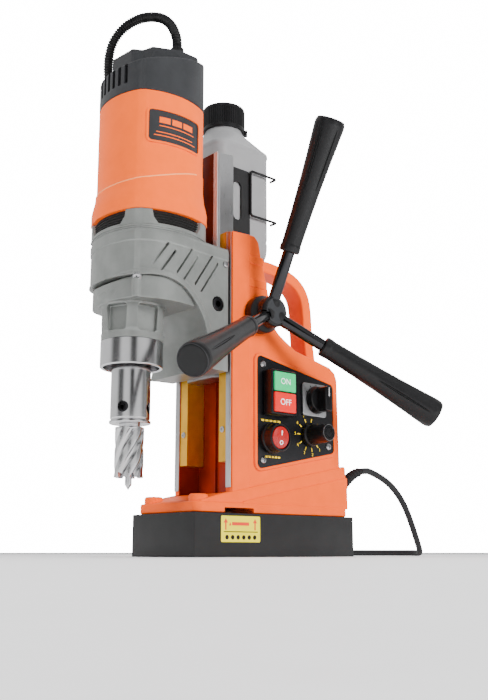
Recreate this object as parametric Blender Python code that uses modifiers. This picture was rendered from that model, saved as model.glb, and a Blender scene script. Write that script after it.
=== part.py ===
"""Magnetic drill press: an electromagnet foot with a cast stand, and a motor carriage on a rack-fed slide.

Frame: +Z up, origin at the centre of the magnet's underside, front (spindle) towards -Y,
control panel and feed wheel on the +X side. Metres.
"""

import math

import bmesh
import bpy
from mathutils import Matrix, Vector

MM = 0.001
GAP = 0.3 * MM  # clearance between touching pieces

# Magnet foot
MAGNET_X = 98 * MM
MAGNET_Y = 210 * MM
MAGNET_Z = 40 * MM
COIL_SLOT_DEPTH = 30 * MM

# Stand casting
FOOT_X = 94 * MM
FOOT_Y = 202 * MM
FOOT_TOP = 50 * MM
COLUMN_HALF_X = 44 * MM
COLUMN_FRONT = -58 * MM
COLUMN_TOP = 320 * MM
CHANNEL_HALF_X = 36.5 * MM
CHANNEL_BACK = -33 * MM
CHANNEL_FLOOR = 57.5 * MM
HANDLE_HALF_X = 12 * MM
HANDLE_HALF_THICK = 6.5 * MM

# Slide, gibs and rack feed
SLIDE_FRONT = -62 * MM
SLIDE_BACK = -42 * MM
SLIDE_BOTTOM = 172 * MM
SLIDE_TOP = 409 * MM
GIB_BOTTOM = 89 * MM
GIB_TOP = 319.5 * MM
FEED_Y = -23 * MM
FEED_Z = 236 * MM
FEED_MODULE = 1.5 * MM
FEED_TEETH = 14
FEED_CONE = math.radians(24.4)  # how far the three feed arms lean outwards
FEED_PHASE = math.radians(87.5)
FEED_APEX_X = 61 * MM
GRIP_START = 62.6 * MM
GRIP_END = 198 * MM

# Motor, gear case and spindle
SPINDLE_Y = -144 * MM
MOTOR_Y = -128 * MM
MOTOR_CORNER = 54 * MM  # motor axis to the rounded corner of the housing
CASE_CORNER = 57.5 * MM
CASE_BOTTOM = 252 * MM
CASE_TOP = 297 * MM
CASE_TAIL = 174 * MM
CASE_ARC_Y = -151 * MM
CASE_ARC_Z = 189 * MM
CASE_ARC_R = 64 * MM
MOTOR_BOTTOM = 316 * MM
MOTOR_TOP = 438 * MM
CAP_FRONT_TOP = 470 * MM
CAP_SLOPE = math.radians(15)
CAP_PLATEAU = 505 * MM
RING_R = 29.6 * MM
ARBOR_R = 18.6 * MM
SHANK_R = 9.5 * MM
CUTTER_R = 13.5 * MM
CUTTER_BOTTOM = 71 * MM
CUTTER_TOP = 117 * MM
PILOT_R = 3.2 * MM
PILOT_TIP = 59.5 * MM

# Two-stage reduction, armature to spindle
STAGE1_MODULE = 1.5 * MM
STAGE1_TEETH = (9, 27)
STAGE2_MODULE = 2 * MM
STAGE2_TEETH = (12, 28)

# Coolant bottle
BOTTLE_X = -61 * MM
BOTTLE_Y = 18 * MM
BOTTLE_BOTTOM = 324.5 * MM
BRACKET_X = -19 * MM  # outer face of the bottle bracket's upright

# Cord
CORD_D = 7 * MM
COIL_X = -120 * MM
COIL_Y = 95 * MM
COIL_MEAN_R = 38.5 * MM
COIL_HALF = 11 * MM

PARTS = "magnetic_drill_press"
GUIDES = "cutters"


# ---------------------------------------------------------------- scene helpers

def clear_scene():
    for obj in list(bpy.data.objects):
        bpy.data.objects.remove(obj, do_unlink=True)


def make_collections():
    for name in (PARTS, GUIDES):
        bpy.context.scene.collection.children.link(bpy.data.collections.new(name))
    bpy.data.collections[GUIDES].hide_render = True


def material(name, colour, roughness, metallic=0.0):
    made = bpy.data.materials.new(name)
    made.use_nodes = True
    shader = made.node_tree.nodes["Principled BSDF"]
    shader.inputs["Base Color"].default_value = (*colour, 1)
    shader.inputs["Roughness"].default_value = roughness
    shader.inputs["Metallic"].default_value = metallic
    made.diffuse_color = (*colour, 1)
    return made


def place(obj, group, look=None):
    """Moves obj into one of the two collections and gives it its material."""
    for collection in list(obj.users_collection):
        collection.objects.unlink(obj)
    bpy.data.collections[group].objects.link(obj)
    if look:
        obj.data.materials.clear()
        obj.data.materials.append(look)
    if group == GUIDES:
        obj.hide_render = True
        obj.display_type = "WIRE"
    return obj


def mesh_object(name, bm, matrix=None):
    data = bpy.data.meshes.new(name)
    bm.to_mesh(data)
    bm.free()
    obj = bpy.data.objects.new(name, data)
    obj.matrix_world = matrix or Matrix.Identity(4)
    bpy.data.collections[PARTS].objects.link(obj)
    return obj


def pivot(name, x, y, z):
    """An empty on a joint's axis, which the pieces of the moving body hang from."""
    empty = bpy.data.objects.new(name, None)
    empty.location = (x, y, z)
    bpy.data.collections[PARTS].objects.link(empty)
    return empty


def hang(empty, *pieces):
    inverse = Matrix.Translation(-empty.location)
    for piece in pieces:
        piece.parent = empty
        piece.matrix_parent_inverse = inverse


def box(name, low, high, look=None, bevel=0.0):
    low, high = Vector(low), Vector(high)
    bm = bmesh.new()
    bmesh.ops.create_cube(bm, size=1)
    bmesh.ops.scale(bm, vec=high - low, verts=bm.verts)
    obj = mesh_object(name, bm, Matrix.Translation((low + high) / 2))
    if bevel:
        edge = obj.modifiers.new("edges", "BEVEL")
        edge.width = bevel
        edge.segments = 2
    return place(obj, PARTS, look)


def rod(name, start, end, r_start, r_end=None, look=None, sides=24):
    """A cylinder or cone between two points."""
    start, end = Vector(start), Vector(end)
    bm = bmesh.new()
    bmesh.ops.create_cone(
        bm, cap_ends=True, segments=sides, radius1=r_start,
        radius2=r_start if r_end is None else r_end, depth=(end - start).length)
    turn = (end - start).to_track_quat("Z", "Y").to_matrix().to_4x4()
    return place(mesh_object(name, bm, Matrix.Translation((start + end) / 2) @ turn), PARTS, look)


def turned(name, profile, centre, look=None, axis="Z", steps=24):
    """A closed (radius, height) profile, listed down its outer side, turned about an axis."""
    bm = bmesh.new()
    ring = [bm.verts.new((r, 0, h)) for r, h in profile]
    on_axis = profile[0][0] == 0 and profile[-1][0] == 0
    for a, b in zip(ring, ring[1:]):
        bm.edges.new((a, b))
    if not on_axis:
        bm.edges.new((ring[-1], ring[0]))
    turns = {"Z": Matrix.Identity(4), "X": Matrix.Rotation(math.pi / 2, 4, "Y")}
    obj = mesh_object(name, bm, Matrix.Translation(centre) @ turns[axis])
    screw = obj.modifiers.new("turn", "SCREW")
    screw.steps = steps
    screw.render_steps = steps
    screw.use_merge_vertices = True
    screw.merge_threshold = 0.00001
    return place(obj, PARTS, look)


def smooth_path(points, per_span):
    """Catmull-Rom curve through the points."""
    points = [Vector(p) for p in points]
    ends = [2 * points[0] - points[1], *points, 2 * points[-1] - points[-2]]
    path = []
    for a, b, c, d in zip(ends, ends[1:], ends[2:], ends[3:]):
        for i in range(per_span):
            t = i / per_span
            path.append(0.5 * ((2 * b) + (c - a) * t + (2 * a - 5 * b + 4 * c - d) * t * t
                               + (3 * b - a - 3 * c + d) * t ** 3))
    return [*path, points[-1]]


def tube(name, path, radius, look=None, resolution=2, taper=None):
    """A round tube along a path. taper gives the share of the radius at each point."""
    data = bpy.data.curves.new(name, "CURVE")
    data.dimensions = "3D"
    data.bevel_depth = radius
    data.bevel_resolution = resolution
    data.use_fill_caps = True
    spline = data.splines.new("POLY")
    spline.points.add(len(path) - 1)
    for i, point in enumerate(path):
        spline.points[i].co = (*point, 1)
        spline.points[i].radius = taper(i / (len(path) - 1)) if taper else 1
    obj = bpy.data.objects.new(name, data)
    bpy.data.collections[PARTS].objects.link(obj)
    return place(obj, PARTS, look)


def as_mesh(obj):
    """The evaluated curve as a closed mesh object of the same name."""
    name = obj.name
    bpy.context.view_layer.update()
    graph = bpy.context.evaluated_depsgraph_get()
    data = bpy.data.meshes.new_from_object(obj.evaluated_get(graph))
    bm = bmesh.new()
    bm.from_mesh(data)
    bmesh.ops.remove_doubles(bm, verts=bm.verts, dist=0.00001)
    bm.to_mesh(data)
    bm.free()
    made = bpy.data.objects.new(name, data)
    made.matrix_world = obj.matrix_world.copy()
    bpy.data.objects.remove(obj, do_unlink=True)
    made.name = name
    bpy.data.collections[PARTS].objects.link(made)
    return made


def slab(name, outline, low, high, look=None, across="Z"):
    """A flat outline given a thickness from low to high along Z, or along X with (y, z) points."""
    data = bpy.data.curves.new(name, "CURVE")
    data.dimensions = "2D"
    data.fill_mode = "BOTH"
    data.extrude = (high - low) / 2
    spline = data.splines.new("POLY")
    spline.points.add(len(outline) - 1)
    for i, (u, v) in enumerate(outline):
        spline.points[i].co = (u, v, 0, 1)
    spline.use_cyclic_u = True
    obj = bpy.data.objects.new(name, data)
    middle = (low + high) / 2
    if across == "X":
        turn = Matrix.Rotation(math.pi / 2, 4, "Z") @ Matrix.Rotation(math.pi / 2, 4, "X")
        obj.matrix_world = Matrix.Translation((middle, 0, 0)) @ turn
    else:
        obj.matrix_world = Matrix.Translation((0, 0, middle))
    bpy.data.collections[PARTS].objects.link(obj)
    return place(as_mesh(obj), PARTS, look)


def boolean(obj, operation, *others):
    for other in others:
        step = obj.modifiers.new(operation.lower(), "BOOLEAN")
        step.operation = operation
        step.object = place(other, GUIDES)
    return obj


def cut(obj, *cutters):
    return boolean(obj, "DIFFERENCE", *cutters)


def join(obj, *others):
    return boolean(obj, "UNION", *others)


def loft(name, rings, look=None):
    """A closed solid through rings of equally many points, for sections that change along the way."""
    bm = bmesh.new()
    rows = [[bm.verts.new(p) for p in ring] for ring in rings]
    count = len(rows[0])
    for low, high in zip(rows, rows[1:]):
        for i in range(count):
            j = (i + 1) % count
            bm.faces.new((low[i], low[j], high[j], high[i]))
    bm.faces.new(list(reversed(rows[0])))
    bm.faces.new(rows[-1])
    bmesh.ops.recalc_face_normals(bm, faces=bm.faces)
    return place(mesh_object(name, bm), PARTS, look)


# ---------------------------------------------------------------- outlines

def arc(cx, cy, r, start, end, count):
    """Points on an arc, angles in degrees."""
    angles = [math.radians(start + (end - start) * i / (count - 1)) for i in range(count)]
    return [(cx + r * math.cos(a), cy + r * math.sin(a)) for a in angles]


def rounded(points, radius, count=3):
    """The polygon with every corner rounded to the radius."""
    made = []
    for i, corner in enumerate(points):
        here = Vector(corner)
        before = (Vector(points[i - 1]) - here).normalized()
        after = (Vector(points[(i + 1) % len(points)]) - here).normalized()
        half = before.angle(after) / 2
        reach = radius / math.tan(half)
        centre = here + (before + after).normalized() * (radius / math.sin(half))
        start = here + before * reach - centre
        end = here + after * reach - centre
        for k in range(count + 1):
            step = start.lerp(end, k / count).normalized() * radius
            made.append(tuple(centre + step))
    return made


def rectangle(x0, y0, x1, y1):
    return [(x0, y0), (x1, y0), (x1, y1), (x0, y1)]


def mm(points):
    return [tuple(v * MM for v in p) for p in points]


def bulged_square(corner, cy, count=6, blunt=0.09):
    """Four shallow arcs that meet at blunted corners on the diagonals, about (0, cy)."""
    arc_r = 1.334 * corner
    offset = math.sqrt(arc_r ** 2 - (corner * math.sin(math.pi / 4)) ** 2) - corner * math.cos(math.pi / 4)
    spread = math.asin(corner * math.sin(math.pi / 4) / arc_r) * (1 - blunt)
    points = []
    for side in range(4):
        facing = side * math.pi / 2
        for i in range(count + 1):
            a = facing - spread + 2 * spread * i / count
            x = -offset * math.cos(facing) + arc_r * math.cos(a)
            y = -offset * math.sin(facing) + arc_r * math.sin(a)
            points.append((x, cy + y))
    return points


def band(path, half):
    """The outline of a strip of constant width along a path."""
    path = [Vector(p) for p in path]
    sides = ([], [])
    for i, point in enumerate(path):
        along = path[min(i + 1, len(path) - 1)] - path[max(i - 1, 0)]
        across = Vector((-along.y, along.x)).normalized() * half
        sides[0].append(tuple(point + across))
        sides[1].append(tuple(point - across))
    return sides[0] + sides[1][::-1]


def gear_outline(teeth, module, phase=0.0, share=0.4):
    """A gear's outline about the origin, with one tooth centred on the phase angle."""
    pitch_r = teeth * module / 2
    tip, root = pitch_r + 0.8 * module, pitch_r - 1.1 * module
    points = []
    for k in range(teeth):
        centre = phase + 2 * math.pi * k / teeth
        wide = share * math.pi / teeth * 1.45
        narrow = share * math.pi / teeth * 0.55
        for r, a in ((root, -wide), (tip, -narrow), (tip, narrow), (root, wide)):
            points.append((r * math.cos(centre + a), r * math.sin(centre + a)))
    return points


def shifted(points, dx, dy):
    return [(x + dx, y + dy) for x, y in points]


# ---------------------------------------------------------------- looks

def make_looks():
    return {
        "orange": material("orange_paint", (0.85, 0.22, 0.05), 0.4),
        "magnet": material("magnet_paint", (0.05, 0.05, 0.055), 0.5),
        "casting": material("grey_casting", (0.27, 0.29, 0.28), 0.4, 0.5),
        "steel": material("machined_steel", (0.7, 0.7, 0.7), 0.3, 1.0),
        "chrome": material("chrome", (0.85, 0.85, 0.86), 0.12, 1.0),
        "brass": material("brass", (0.75, 0.5, 0.12), 0.35, 1.0),
        "copper": material("copper", (0.72, 0.35, 0.18), 0.4, 1.0),
        "black": material("black_plastic", (0.02, 0.02, 0.021), 0.45),
        "cap": material("cap_plastic", (0.045, 0.047, 0.05), 0.5),
        "rubber": material("rubber", (0.03, 0.03, 0.03), 0.7),
        "bottle": material("bottle_plastic", (0.42, 0.42, 0.43), 0.4),
        "green": material("green_plastic", (0.03, 0.5, 0.18), 0.35),
        "red": material("red_plastic", (0.75, 0.04, 0.03), 0.35),
        "board": material("board", (0.02, 0.2, 0.08), 0.5),
    }


# ---------------------------------------------------------------- foot and stand

def magnet(look):
    slot = rounded(rectangle(-37 * MM, -93 * MM, 37 * MM, 93 * MM), 20 * MM)
    core = rounded(rectangle(-20 * MM, -76 * MM, 20 * MM, 76 * MM), 8 * MM)
    body = box("magnet_body", (-MAGNET_X / 2, -MAGNET_Y / 2, 0), (MAGNET_X / 2, MAGNET_Y / 2, MAGNET_Z),
               look["magnet"])
    ring = slab("coil_slot", slot, -1 * MM, COIL_SLOT_DEPTH)
    cut(ring, slab("coil_core", core, -2 * MM, COIL_SLOT_DEPTH + MM))
    cut(body, ring)
    slot_in = rounded(rectangle(-36.7 * MM, -92.7 * MM, 36.7 * MM, 92.7 * MM), 19.7 * MM)
    core_out = rounded(rectangle(-20.3 * MM, -76.3 * MM, 20.3 * MM, 76.3 * MM), 8.3 * MM)
    layers = (("magnet_coil", 4.3 * MM, COIL_SLOT_DEPTH - GAP, "copper"),
              ("magnet_potting", 0.5 * MM, 4 * MM, "black"))
    for name, low, high, finish in layers:
        layer = slab(name, slot_in, low, high, look[finish])
        cut(layer, slab(name + "_core", core_out, low - MM, high + MM))


def handle_path():
    points = mm([(-30, 303.5), (-16, 304), (6, 304), (30, 303), (52, 299), (67, 291.5), (76, 279.5),
                 (79.5, 262), (80.5, 240), (83, 218), (87, 196), (89, 186)])
    return points


def panel_outline(grow, radius):
    corners = [(-26, 83), (80.5, 105.5), (80.5, 176.5), (-26, 196)]
    signs = [(-1, -1), (1, -1), (1, 1), (-1, 1)]
    return rounded(mm([(y + sy * grow, z + sz * grow) for (y, z), (sy, sz) in zip(corners, signs)]),
                   radius * MM)


def stand_casting(look):
    foot = rounded(rectangle(-FOOT_X / 2, -FOOT_Y / 2, FOOT_X / 2, FOOT_Y / 2), 8 * MM)
    stand = slab("stand_casting", foot, MAGNET_Z + GAP, FOOT_TOP, look["orange"])
    wedge = mm([(-95, 48), (-95, 51), (-71, 57.5), (97.5, 92.5), (99.3, 90), (99.3, 48)])
    skirt = mm([(-46, 48), (-44, 51.3), (-8, 59), (100.4, 80.7), (100.4, 48)])
    body = mm([(-58, 48), (-58, 318.5), (-35, 320), (-27, 320), (-21, 314), (-18, 299), (-13, 281),
               (-3, 243), (0, 230), (6, 222.5), (30, 208), (80, 197), (88, 191.5), (91, 184), (92.5, 93),
               (92.5, 48)])
    join(stand,
         slab("foot_wedge", wedge, -45.2 * MM, 45.2 * MM, across="X"),
         slab("foot_skirt", skirt, -46.3 * MM, 46.3 * MM, across="X"),
         slab("column", body, -COLUMN_HALF_X, COLUMN_HALF_X, across="X"),
         slab("handle", band(handle_path(), HANDLE_HALF_THICK), -HANDLE_HALF_X, HANDLE_HALF_X, across="X"),
         slab("panel_rim", panel_outline(3.6, 8), 40 * MM, 46.4 * MM, across="X"),
         rod("boss_right", (35 * MM, -90 * MM, 45 * MM), (35 * MM, -90 * MM, 57 * MM), 9 * MM),
         rod("boss_left", (-35 * MM, -90 * MM, 45 * MM), (-35 * MM, -90 * MM, 57 * MM), 9 * MM))
    pocket = rounded(mm([(-17, 94), (72, 114), (72, 168), (-17, 185)]), 5 * MM)
    cut(stand,
        slab("panel_recess", panel_outline(0.4, 5), 44 * MM, 50 * MM, across="X"),
        slab("electronics_pocket", pocket, -36 * MM, 50 * MM, across="X"),
        box("channel", (-CHANNEL_HALF_X, -64 * MM, CHANNEL_FLOOR), (CHANNEL_HALF_X, CHANNEL_BACK, 330 * MM)),
        box("rack_groove", (-10 * MM, -40 * MM, CHANNEL_FLOOR), (10 * MM, -30.5 * MM, 330 * MM)),
        rod("pinion_pocket", (-14 * MM, FEED_Y, FEED_Z), (14 * MM, FEED_Y, FEED_Z), 14 * MM),
        rod("bush_bore", (13 * MM, FEED_Y, FEED_Z), (50 * MM, FEED_Y, FEED_Z), 9.5 * MM),
        box("strap_slot", (-60 * MM, -68 * MM, 38 * MM), (60 * MM, -32 * MM, 45 * MM)))
    return stand


def slide_ways(look):
    for side, name in ((1, "gib_right"), (-1, "gib_left")):
        section = mm([(25, -57.5), (36.2, -57.5), (36.2, -33.3), (29.2, -33.3)])
        section = [(side * x, y) for x, y in section]
        slab(name, section, GIB_BOTTOM, GIB_TOP, look["brass"])
    turned("pinion_bush", mm([(9.2, 44), (9.2, 14.5), (7.3, 14.5), (7.3, 44)]),
           (0, FEED_Y, FEED_Z), look["brass"], axis="X", steps=20)


# ---------------------------------------------------------------- controls

def controls(look):
    slab("control_panel", panel_outline(0.1, 4.8), 44.3 * MM, 46 * MM, look["black"], across="X")
    box("control_board", (-30 * MM, -8 * MM, 118 * MM), (-28 * MM, 62 * MM, 162 * MM), look["board"])
    housing = box("switch_housing", (46.3 * MM, -19 * MM, 136 * MM), (59.5 * MM, 15 * MM, 181 * MM),
                  look["black"], bevel=1.5 * MM)
    buttons = (("on_button", 159.3, 178.7, "green"), ("off_button", 138.5, 158.2, "red"))
    for name, low, high, finish in buttons:
        cut(housing, box(name + "_well", (49 * MM, -17 * MM, (low - 0.5) * MM),
                         (70 * MM, 13 * MM, (high + 0.5) * MM)))
        button = box(name, (53 * MM, -16.5 * MM, low * MM), (61.5 * MM, 12.5 * MM, high * MM), look[finish],
                     1 * MM)
        hang(pivot(name + "_axis", 53 * MM, -2 * MM, (low + high) / 2 * MM), button)
    box("selector_plate", (46.3 * MM, 34 * MM, 141 * MM), (49 * MM, 68 * MM, 175 * MM), look["steel"],
        1 * MM)
    knob = rod("selector_knob", (49.3 * MM, 53 * MM, 158 * MM), (56 * MM, 53 * MM, 158 * MM),
               14.5 * MM, 13 * MM, look["black"])
    join(knob, box("selector_bar", (54 * MM, 48 * MM, 145 * MM), (68 * MM, 58 * MM, 171 * MM)))
    hang(pivot("selector_axis", 49.3 * MM, 53 * MM, 158 * MM), knob)
    rocker_y, rocker_z = -8.5 * MM, 113.5 * MM
    bezel = mm([(0, 52), (11.6, 52), (11.6, 61), (13.6, 61), (15, 50), (15, 46.3), (0, 46.3)])
    turned("rocker_bezel", bezel, (0, rocker_y, rocker_z), look["black"], axis="X")
    rocker = turned("rocker_button", mm([(0, 62), (11, 60.5), (10.6, 55), (0, 54.5)]),
                    (0, rocker_y, rocker_z), look["red"], axis="X")
    centre = Matrix.Translation((57 * MM, rocker_y, rocker_z))
    # At rest the lower half is pressed in.
    rocker.matrix_world = (centre @ Matrix.Rotation(math.radians(6), 4, "Y") @ centre.inverted()
                           @ rocker.matrix_world)
    hang(pivot("rocker_axis", 57 * MM, rocker_y, rocker_z), rocker)
    knob_profile = mm([(0, 74), (8.6, 74), (9.4, 73), (10.4, 52), (12, 50), (12, 46.3), (0, 46.3)])
    speed = turned("speed_knob", knob_profile, (0, 45.5 * MM, 121.5 * MM), look["black"], axis="X")
    hang(pivot("speed_axis", 46.3 * MM, 45.5 * MM, 121.5 * MM), speed)


# ---------------------------------------------------------------- feed wheel

def feed_wheel(look):
    centre = (0, FEED_Y, FEED_Z)
    axis = pivot("feed_axis", *centre)
    profile = mm([(0, 70.8), (14, 70.8), (15.5, 69.5), (15.5, 58), (19, 55), (19, 44.6), (7.3, 44.6),
                  (7.3, 57), (0, 57)])
    hub = turned("feed_hub", profile, centre, look["black"], axis="X")
    pinion = gear_outline(FEED_TEETH, FEED_MODULE)
    shaft = slab("feed_shaft", shifted(pinion, FEED_Y, FEED_Z), -12 * MM, 12 * MM, look["steel"], across="X")
    join(shaft, rod("shaft_journal", (8 * MM, FEED_Y, FEED_Z), (56.5 * MM, FEED_Y, FEED_Z), 7 * MM))
    hang(axis, hub, shaft)
    apex = Vector((FEED_APEX_X, FEED_Y, FEED_Z))
    for i in range(3):
        turn = FEED_PHASE + math.radians(120) * i
        across = Vector((0, math.cos(turn), math.sin(turn)))
        along = math.sin(FEED_CONE) * Vector((1, 0, 0)) + math.cos(FEED_CONE) * across
        cut(hub, rod(f"socket_{i + 1}", apex + along * 9 * MM, apex + along * 40 * MM, 6.4 * MM, sides=16))
        bar = rod(f"feed_rod_{i + 1}", apex + along * 9.5 * MM, apex + along * (GRIP_START + 22 * MM),
                  6 * MM, look=look["steel"], sides=16)
        length = GRIP_END - GRIP_START
        shape = [(0, length), (12 * MM, length), (14.6 * MM, 0.985 * length), (15 * MM, 0.95 * length),
                 (13.2 * MM, 0.75 * length), (10.4 * MM, 0.3 * length), (9.4 * MM, 1 * MM), (9 * MM, 0),
                 (6.3 * MM, 0), (6.3 * MM, 23 * MM), (0, 23 * MM)]
        grip = turned(f"feed_grip_{i + 1}", shape, (0, 0, 0), look["black"], steps=20)
        grip.matrix_world = (Matrix.Translation(apex + along * GRIP_START)
                             @ along.to_track_quat("Z", "Y").to_matrix().to_4x4())
        hang(axis, bar, grip)


# ---------------------------------------------------------------- carriage

def slide_and_rack(look):
    section = mm([(-27.4, -42), (-24.7, -57.5), (-20.2, -62), (20.2, -62), (24.7, -57.5), (27.4, -42)])
    slab("slide_plate", section, SLIDE_BOTTOM, SLIDE_TOP, look["steel"])
    pitch = math.pi * FEED_MODULE
    pitch_y = FEED_Y - FEED_TEETH * FEED_MODULE / 2
    tip = pitch_y + 0.8 * FEED_MODULE
    root = pitch_y - 1.1 * FEED_MODULE
    outline = [(SLIDE_BACK + GAP, 405 * MM), (SLIDE_BACK + GAP, 176 * MM)]
    # A gap of the rack faces the pinion tooth or gap at the rest height.
    facing = FEED_TEETH / 2 % 1
    first = math.ceil((180 * MM - FEED_Z) / pitch)
    last = math.floor((401 * MM - FEED_Z) / pitch)
    outline.append((root, 176 * MM))
    for k in range(first, last):
        middle = FEED_Z + (k + 0.5 + facing) * pitch
        for y, dz in ((root, -0.29), (tip, -0.11), (tip, 0.11), (root, 0.29)):
            outline.append((y, middle + dz * pitch))
    outline.append((root, 405 * MM))
    slab("feed_rack", outline, -8 * MM, 8 * MM, look["steel"], across="X")


def case_outline():
    """Gear case in plan: the motor's bulged front half, drawn back to the slide."""
    front = [(x, y) for x, y in bulged_square(CASE_CORNER, MOTOR_Y, count=6) if y < MOTOR_Y + 20 * MM]
    right = sorted((p for p in front if p[0] > 0), key=lambda p: p[1])
    left = [(-x, y) for x, y in right]
    back = SLIDE_FRONT - GAP
    return [*left[::-1], *right, (46 * MM, -80 * MM), (45 * MM, back), (-45 * MM, back),
            (-46 * MM, -80 * MM)]


def gear_case(look):
    outline = case_outline()
    case = slab("gear_case", outline, CASE_TAIL, CASE_TOP, look["casting"])
    cut(case,
        rod("case_arch", (-70 * MM, CASE_ARC_Y, CASE_ARC_Z), (70 * MM, CASE_ARC_Y, CASE_ARC_Z), CASE_ARC_R,
            sides=48),
        box("case_front", (-70 * MM, -220 * MM, 100 * MM), (70 * MM, CASE_ARC_Y, CASE_BOTTOM)),
        rod("gear_cavity", (0, MOTOR_Y, 262 * MM), (0, MOTOR_Y, 320 * MM), 46.5 * MM, sides=32),
        rod("spindle_way", (0, SPINDLE_Y, 230 * MM), (0, SPINDLE_Y, 270 * MM), 12 * MM))
    x, y = stage_point()
    cut(case, rod("layshaft_room", (x, y, 262 * MM), (x, y, 320 * MM), 22.2 * MM, sides=32),
        rod("layshaft_seat", (x, y, 255 * MM), (x, y, 270 * MM), 5.3 * MM, sides=16))
    slant = math.atan2(32, 22)
    for side in (1, -1):
        for top_y, length in ((-135, 30), (-107, 36), (-79, 44)):
            top = Vector((top_y, 284))
            low = top - length * Vector((math.cos(slant), math.sin(slant)))
            strip = rounded(band([tuple(low * MM), tuple(top * MM)], 5.5 * MM), 3 * MM)
            spans = sorted((side * 47.5 * MM, side * 60 * MM))
            cut(case, slab("case_slot", strip, *spans, across="X"))
    cut(case, rod("bolt_recess", (38 * MM, -76 * MM, 239 * MM), (60 * MM, -76 * MM, 239 * MM), 7.6 * MM,
                  sides=20))
    bolt = rod("case_bolt", (38.3 * MM, -76 * MM, 239 * MM), (45 * MM, -76 * MM, 239 * MM), 7 * MM,
               look=look["black"])
    cut(bolt, rod("bolt_hex", (41 * MM, -76 * MM, 239 * MM), (50 * MM, -76 * MM, 239 * MM), 4 * MM, sides=6))


def spindle_housing(look):
    lower = slab("spindle_housing", bulged_square(CASE_CORNER - 4 * MM, MOTOR_Y), 231 * MM, 251.7 * MM,
                 look["casting"])
    keep = rod("arch_filler", (-70 * MM, CASE_ARC_Y, CASE_ARC_Z), (70 * MM, CASE_ARC_Y, CASE_ARC_Z),
               CASE_ARC_R - GAP, sides=48)
    boolean(lower, "INTERSECT", keep)
    centre = (0, SPINDLE_Y, 0)
    join(lower, turned("neck", mm([(0, 236), (31.5, 236), (29.4, 197.3), (0, 197.3)]), centre, steps=36))
    cut(lower, rod("neck_bore", (0, SPINDLE_Y, 190 * MM), (0, SPINDLE_Y, 222 * MM), 20 * MM),
        rod("neck_hole", (0, SPINDLE_Y, 215 * MM), (0, SPINDLE_Y, 260 * MM), 11 * MM))
    for i in range(6):
        turn = math.radians(-90 + 25 + 60 * i)
        away = Vector((math.cos(turn), math.sin(turn), 0))
        window = box("window", (-4 * MM, -8 * MM, -13.5 * MM), (8 * MM, 8 * MM, 13.5 * MM))
        window.matrix_world = (Matrix.Translation(Vector((0, SPINDLE_Y, 220.5 * MM)) + away * 31 * MM)
                               @ Matrix.Rotation(turn, 4, "Z"))
        cut(lower, window)
    turned("spindle_bearing", mm([(19.7, 221), (19.7, 207), (9.6, 207), (9.6, 221)]), centre, look["steel"])
    turned("coolant_ring",
           mm([(29.6, 197), (29.6, 172.7), (26.4, 172.7), (26.4, 185), (19.2, 187), (19.2, 197)]),
           centre, look["chrome"], steps=36)


def motor(look):
    axis = (0, MOTOR_Y, 0)
    rings = []
    for height, corner in ((316, 58), (331, 58), (338, 56.6), (351, 54.4), (438, 53.4)):
        rings.append([(x, y, height * MM) for x, y in bulged_square(corner * MM, MOTOR_Y)])
    housing = loft("motor_housing", rings, look["orange"])
    cut(housing, rod("motor_bore", (0, MOTOR_Y, 300 * MM), (0, MOTOR_Y, 450 * MM), 44 * MM, sides=32))
    plate = slab("bearing_plate", bulged_square(56.5 * MM, MOTOR_Y), CASE_TOP + GAP, 303 * MM,
                 look["casting"])
    for i in range(4):
        turn = math.radians(45 + 90 * i)
        tab = box("vent_tab", (44.5 * MM, -12 * MM, 302 * MM), (55.5 * MM, 12 * MM, 315.7 * MM))
        tab.matrix_world = (Matrix.Translation((0, MOTOR_Y, 0)) @ Matrix.Rotation(turn, 4, "Z")
                            @ tab.matrix_world)
        join(plate, tab)
    cut(plate, rod("plate_bore", (0, MOTOR_Y, 290 * MM), (0, MOTOR_Y, 310 * MM), 8.3 * MM, sides=20))
    turned("motor_stator", mm([(43.7, 415), (43.7, 335), (27, 335), (27, 415)]), axis, look["steel"],
           steps=28)
    core = mm([(0, 432), (5, 432), (5, 426), (15, 426), (15, 414), (8, 412), (8, 408), (25.5, 406),
               (25.5, 342), (8, 340), (8, 285), (3, 284.7), (0, 284.7)])
    armature = turned("armature", core, axis, look["copper"], steps=20)
    fan = rod("cooling_fan", (0, MOTOR_Y, 304 * MM), (0, MOTOR_Y, 307 * MM), 38 * MM, look=look["black"])
    for i in range(8):
        blade = box("blade", (14 * MM, -1 * MM, 306 * MM), (41 * MM, 1 * MM, 315 * MM))
        blade.matrix_world = (Matrix.Translation((0, MOTOR_Y, 0)) @ Matrix.Rotation(math.pi / 4 * i, 4, "Z")
                              @ blade.matrix_world)
        join(fan, blade)
    cut(fan, rod("fan_bore", (0, MOTOR_Y, 300 * MM), (0, MOTOR_Y, 320 * MM), 8.3 * MM))
    pinion_teeth = gear_outline(STAGE1_TEETH[0], STAGE1_MODULE, line_angle((0, MOTOR_Y), stage_point()))
    pinion = slab("armature_pinion", shifted(pinion_teeth, 0, MOTOR_Y), 275.5 * MM, 284.4 * MM,
                  look["steel"])
    hang(pivot("armature_axis", *axis), armature, fan, pinion)


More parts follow.
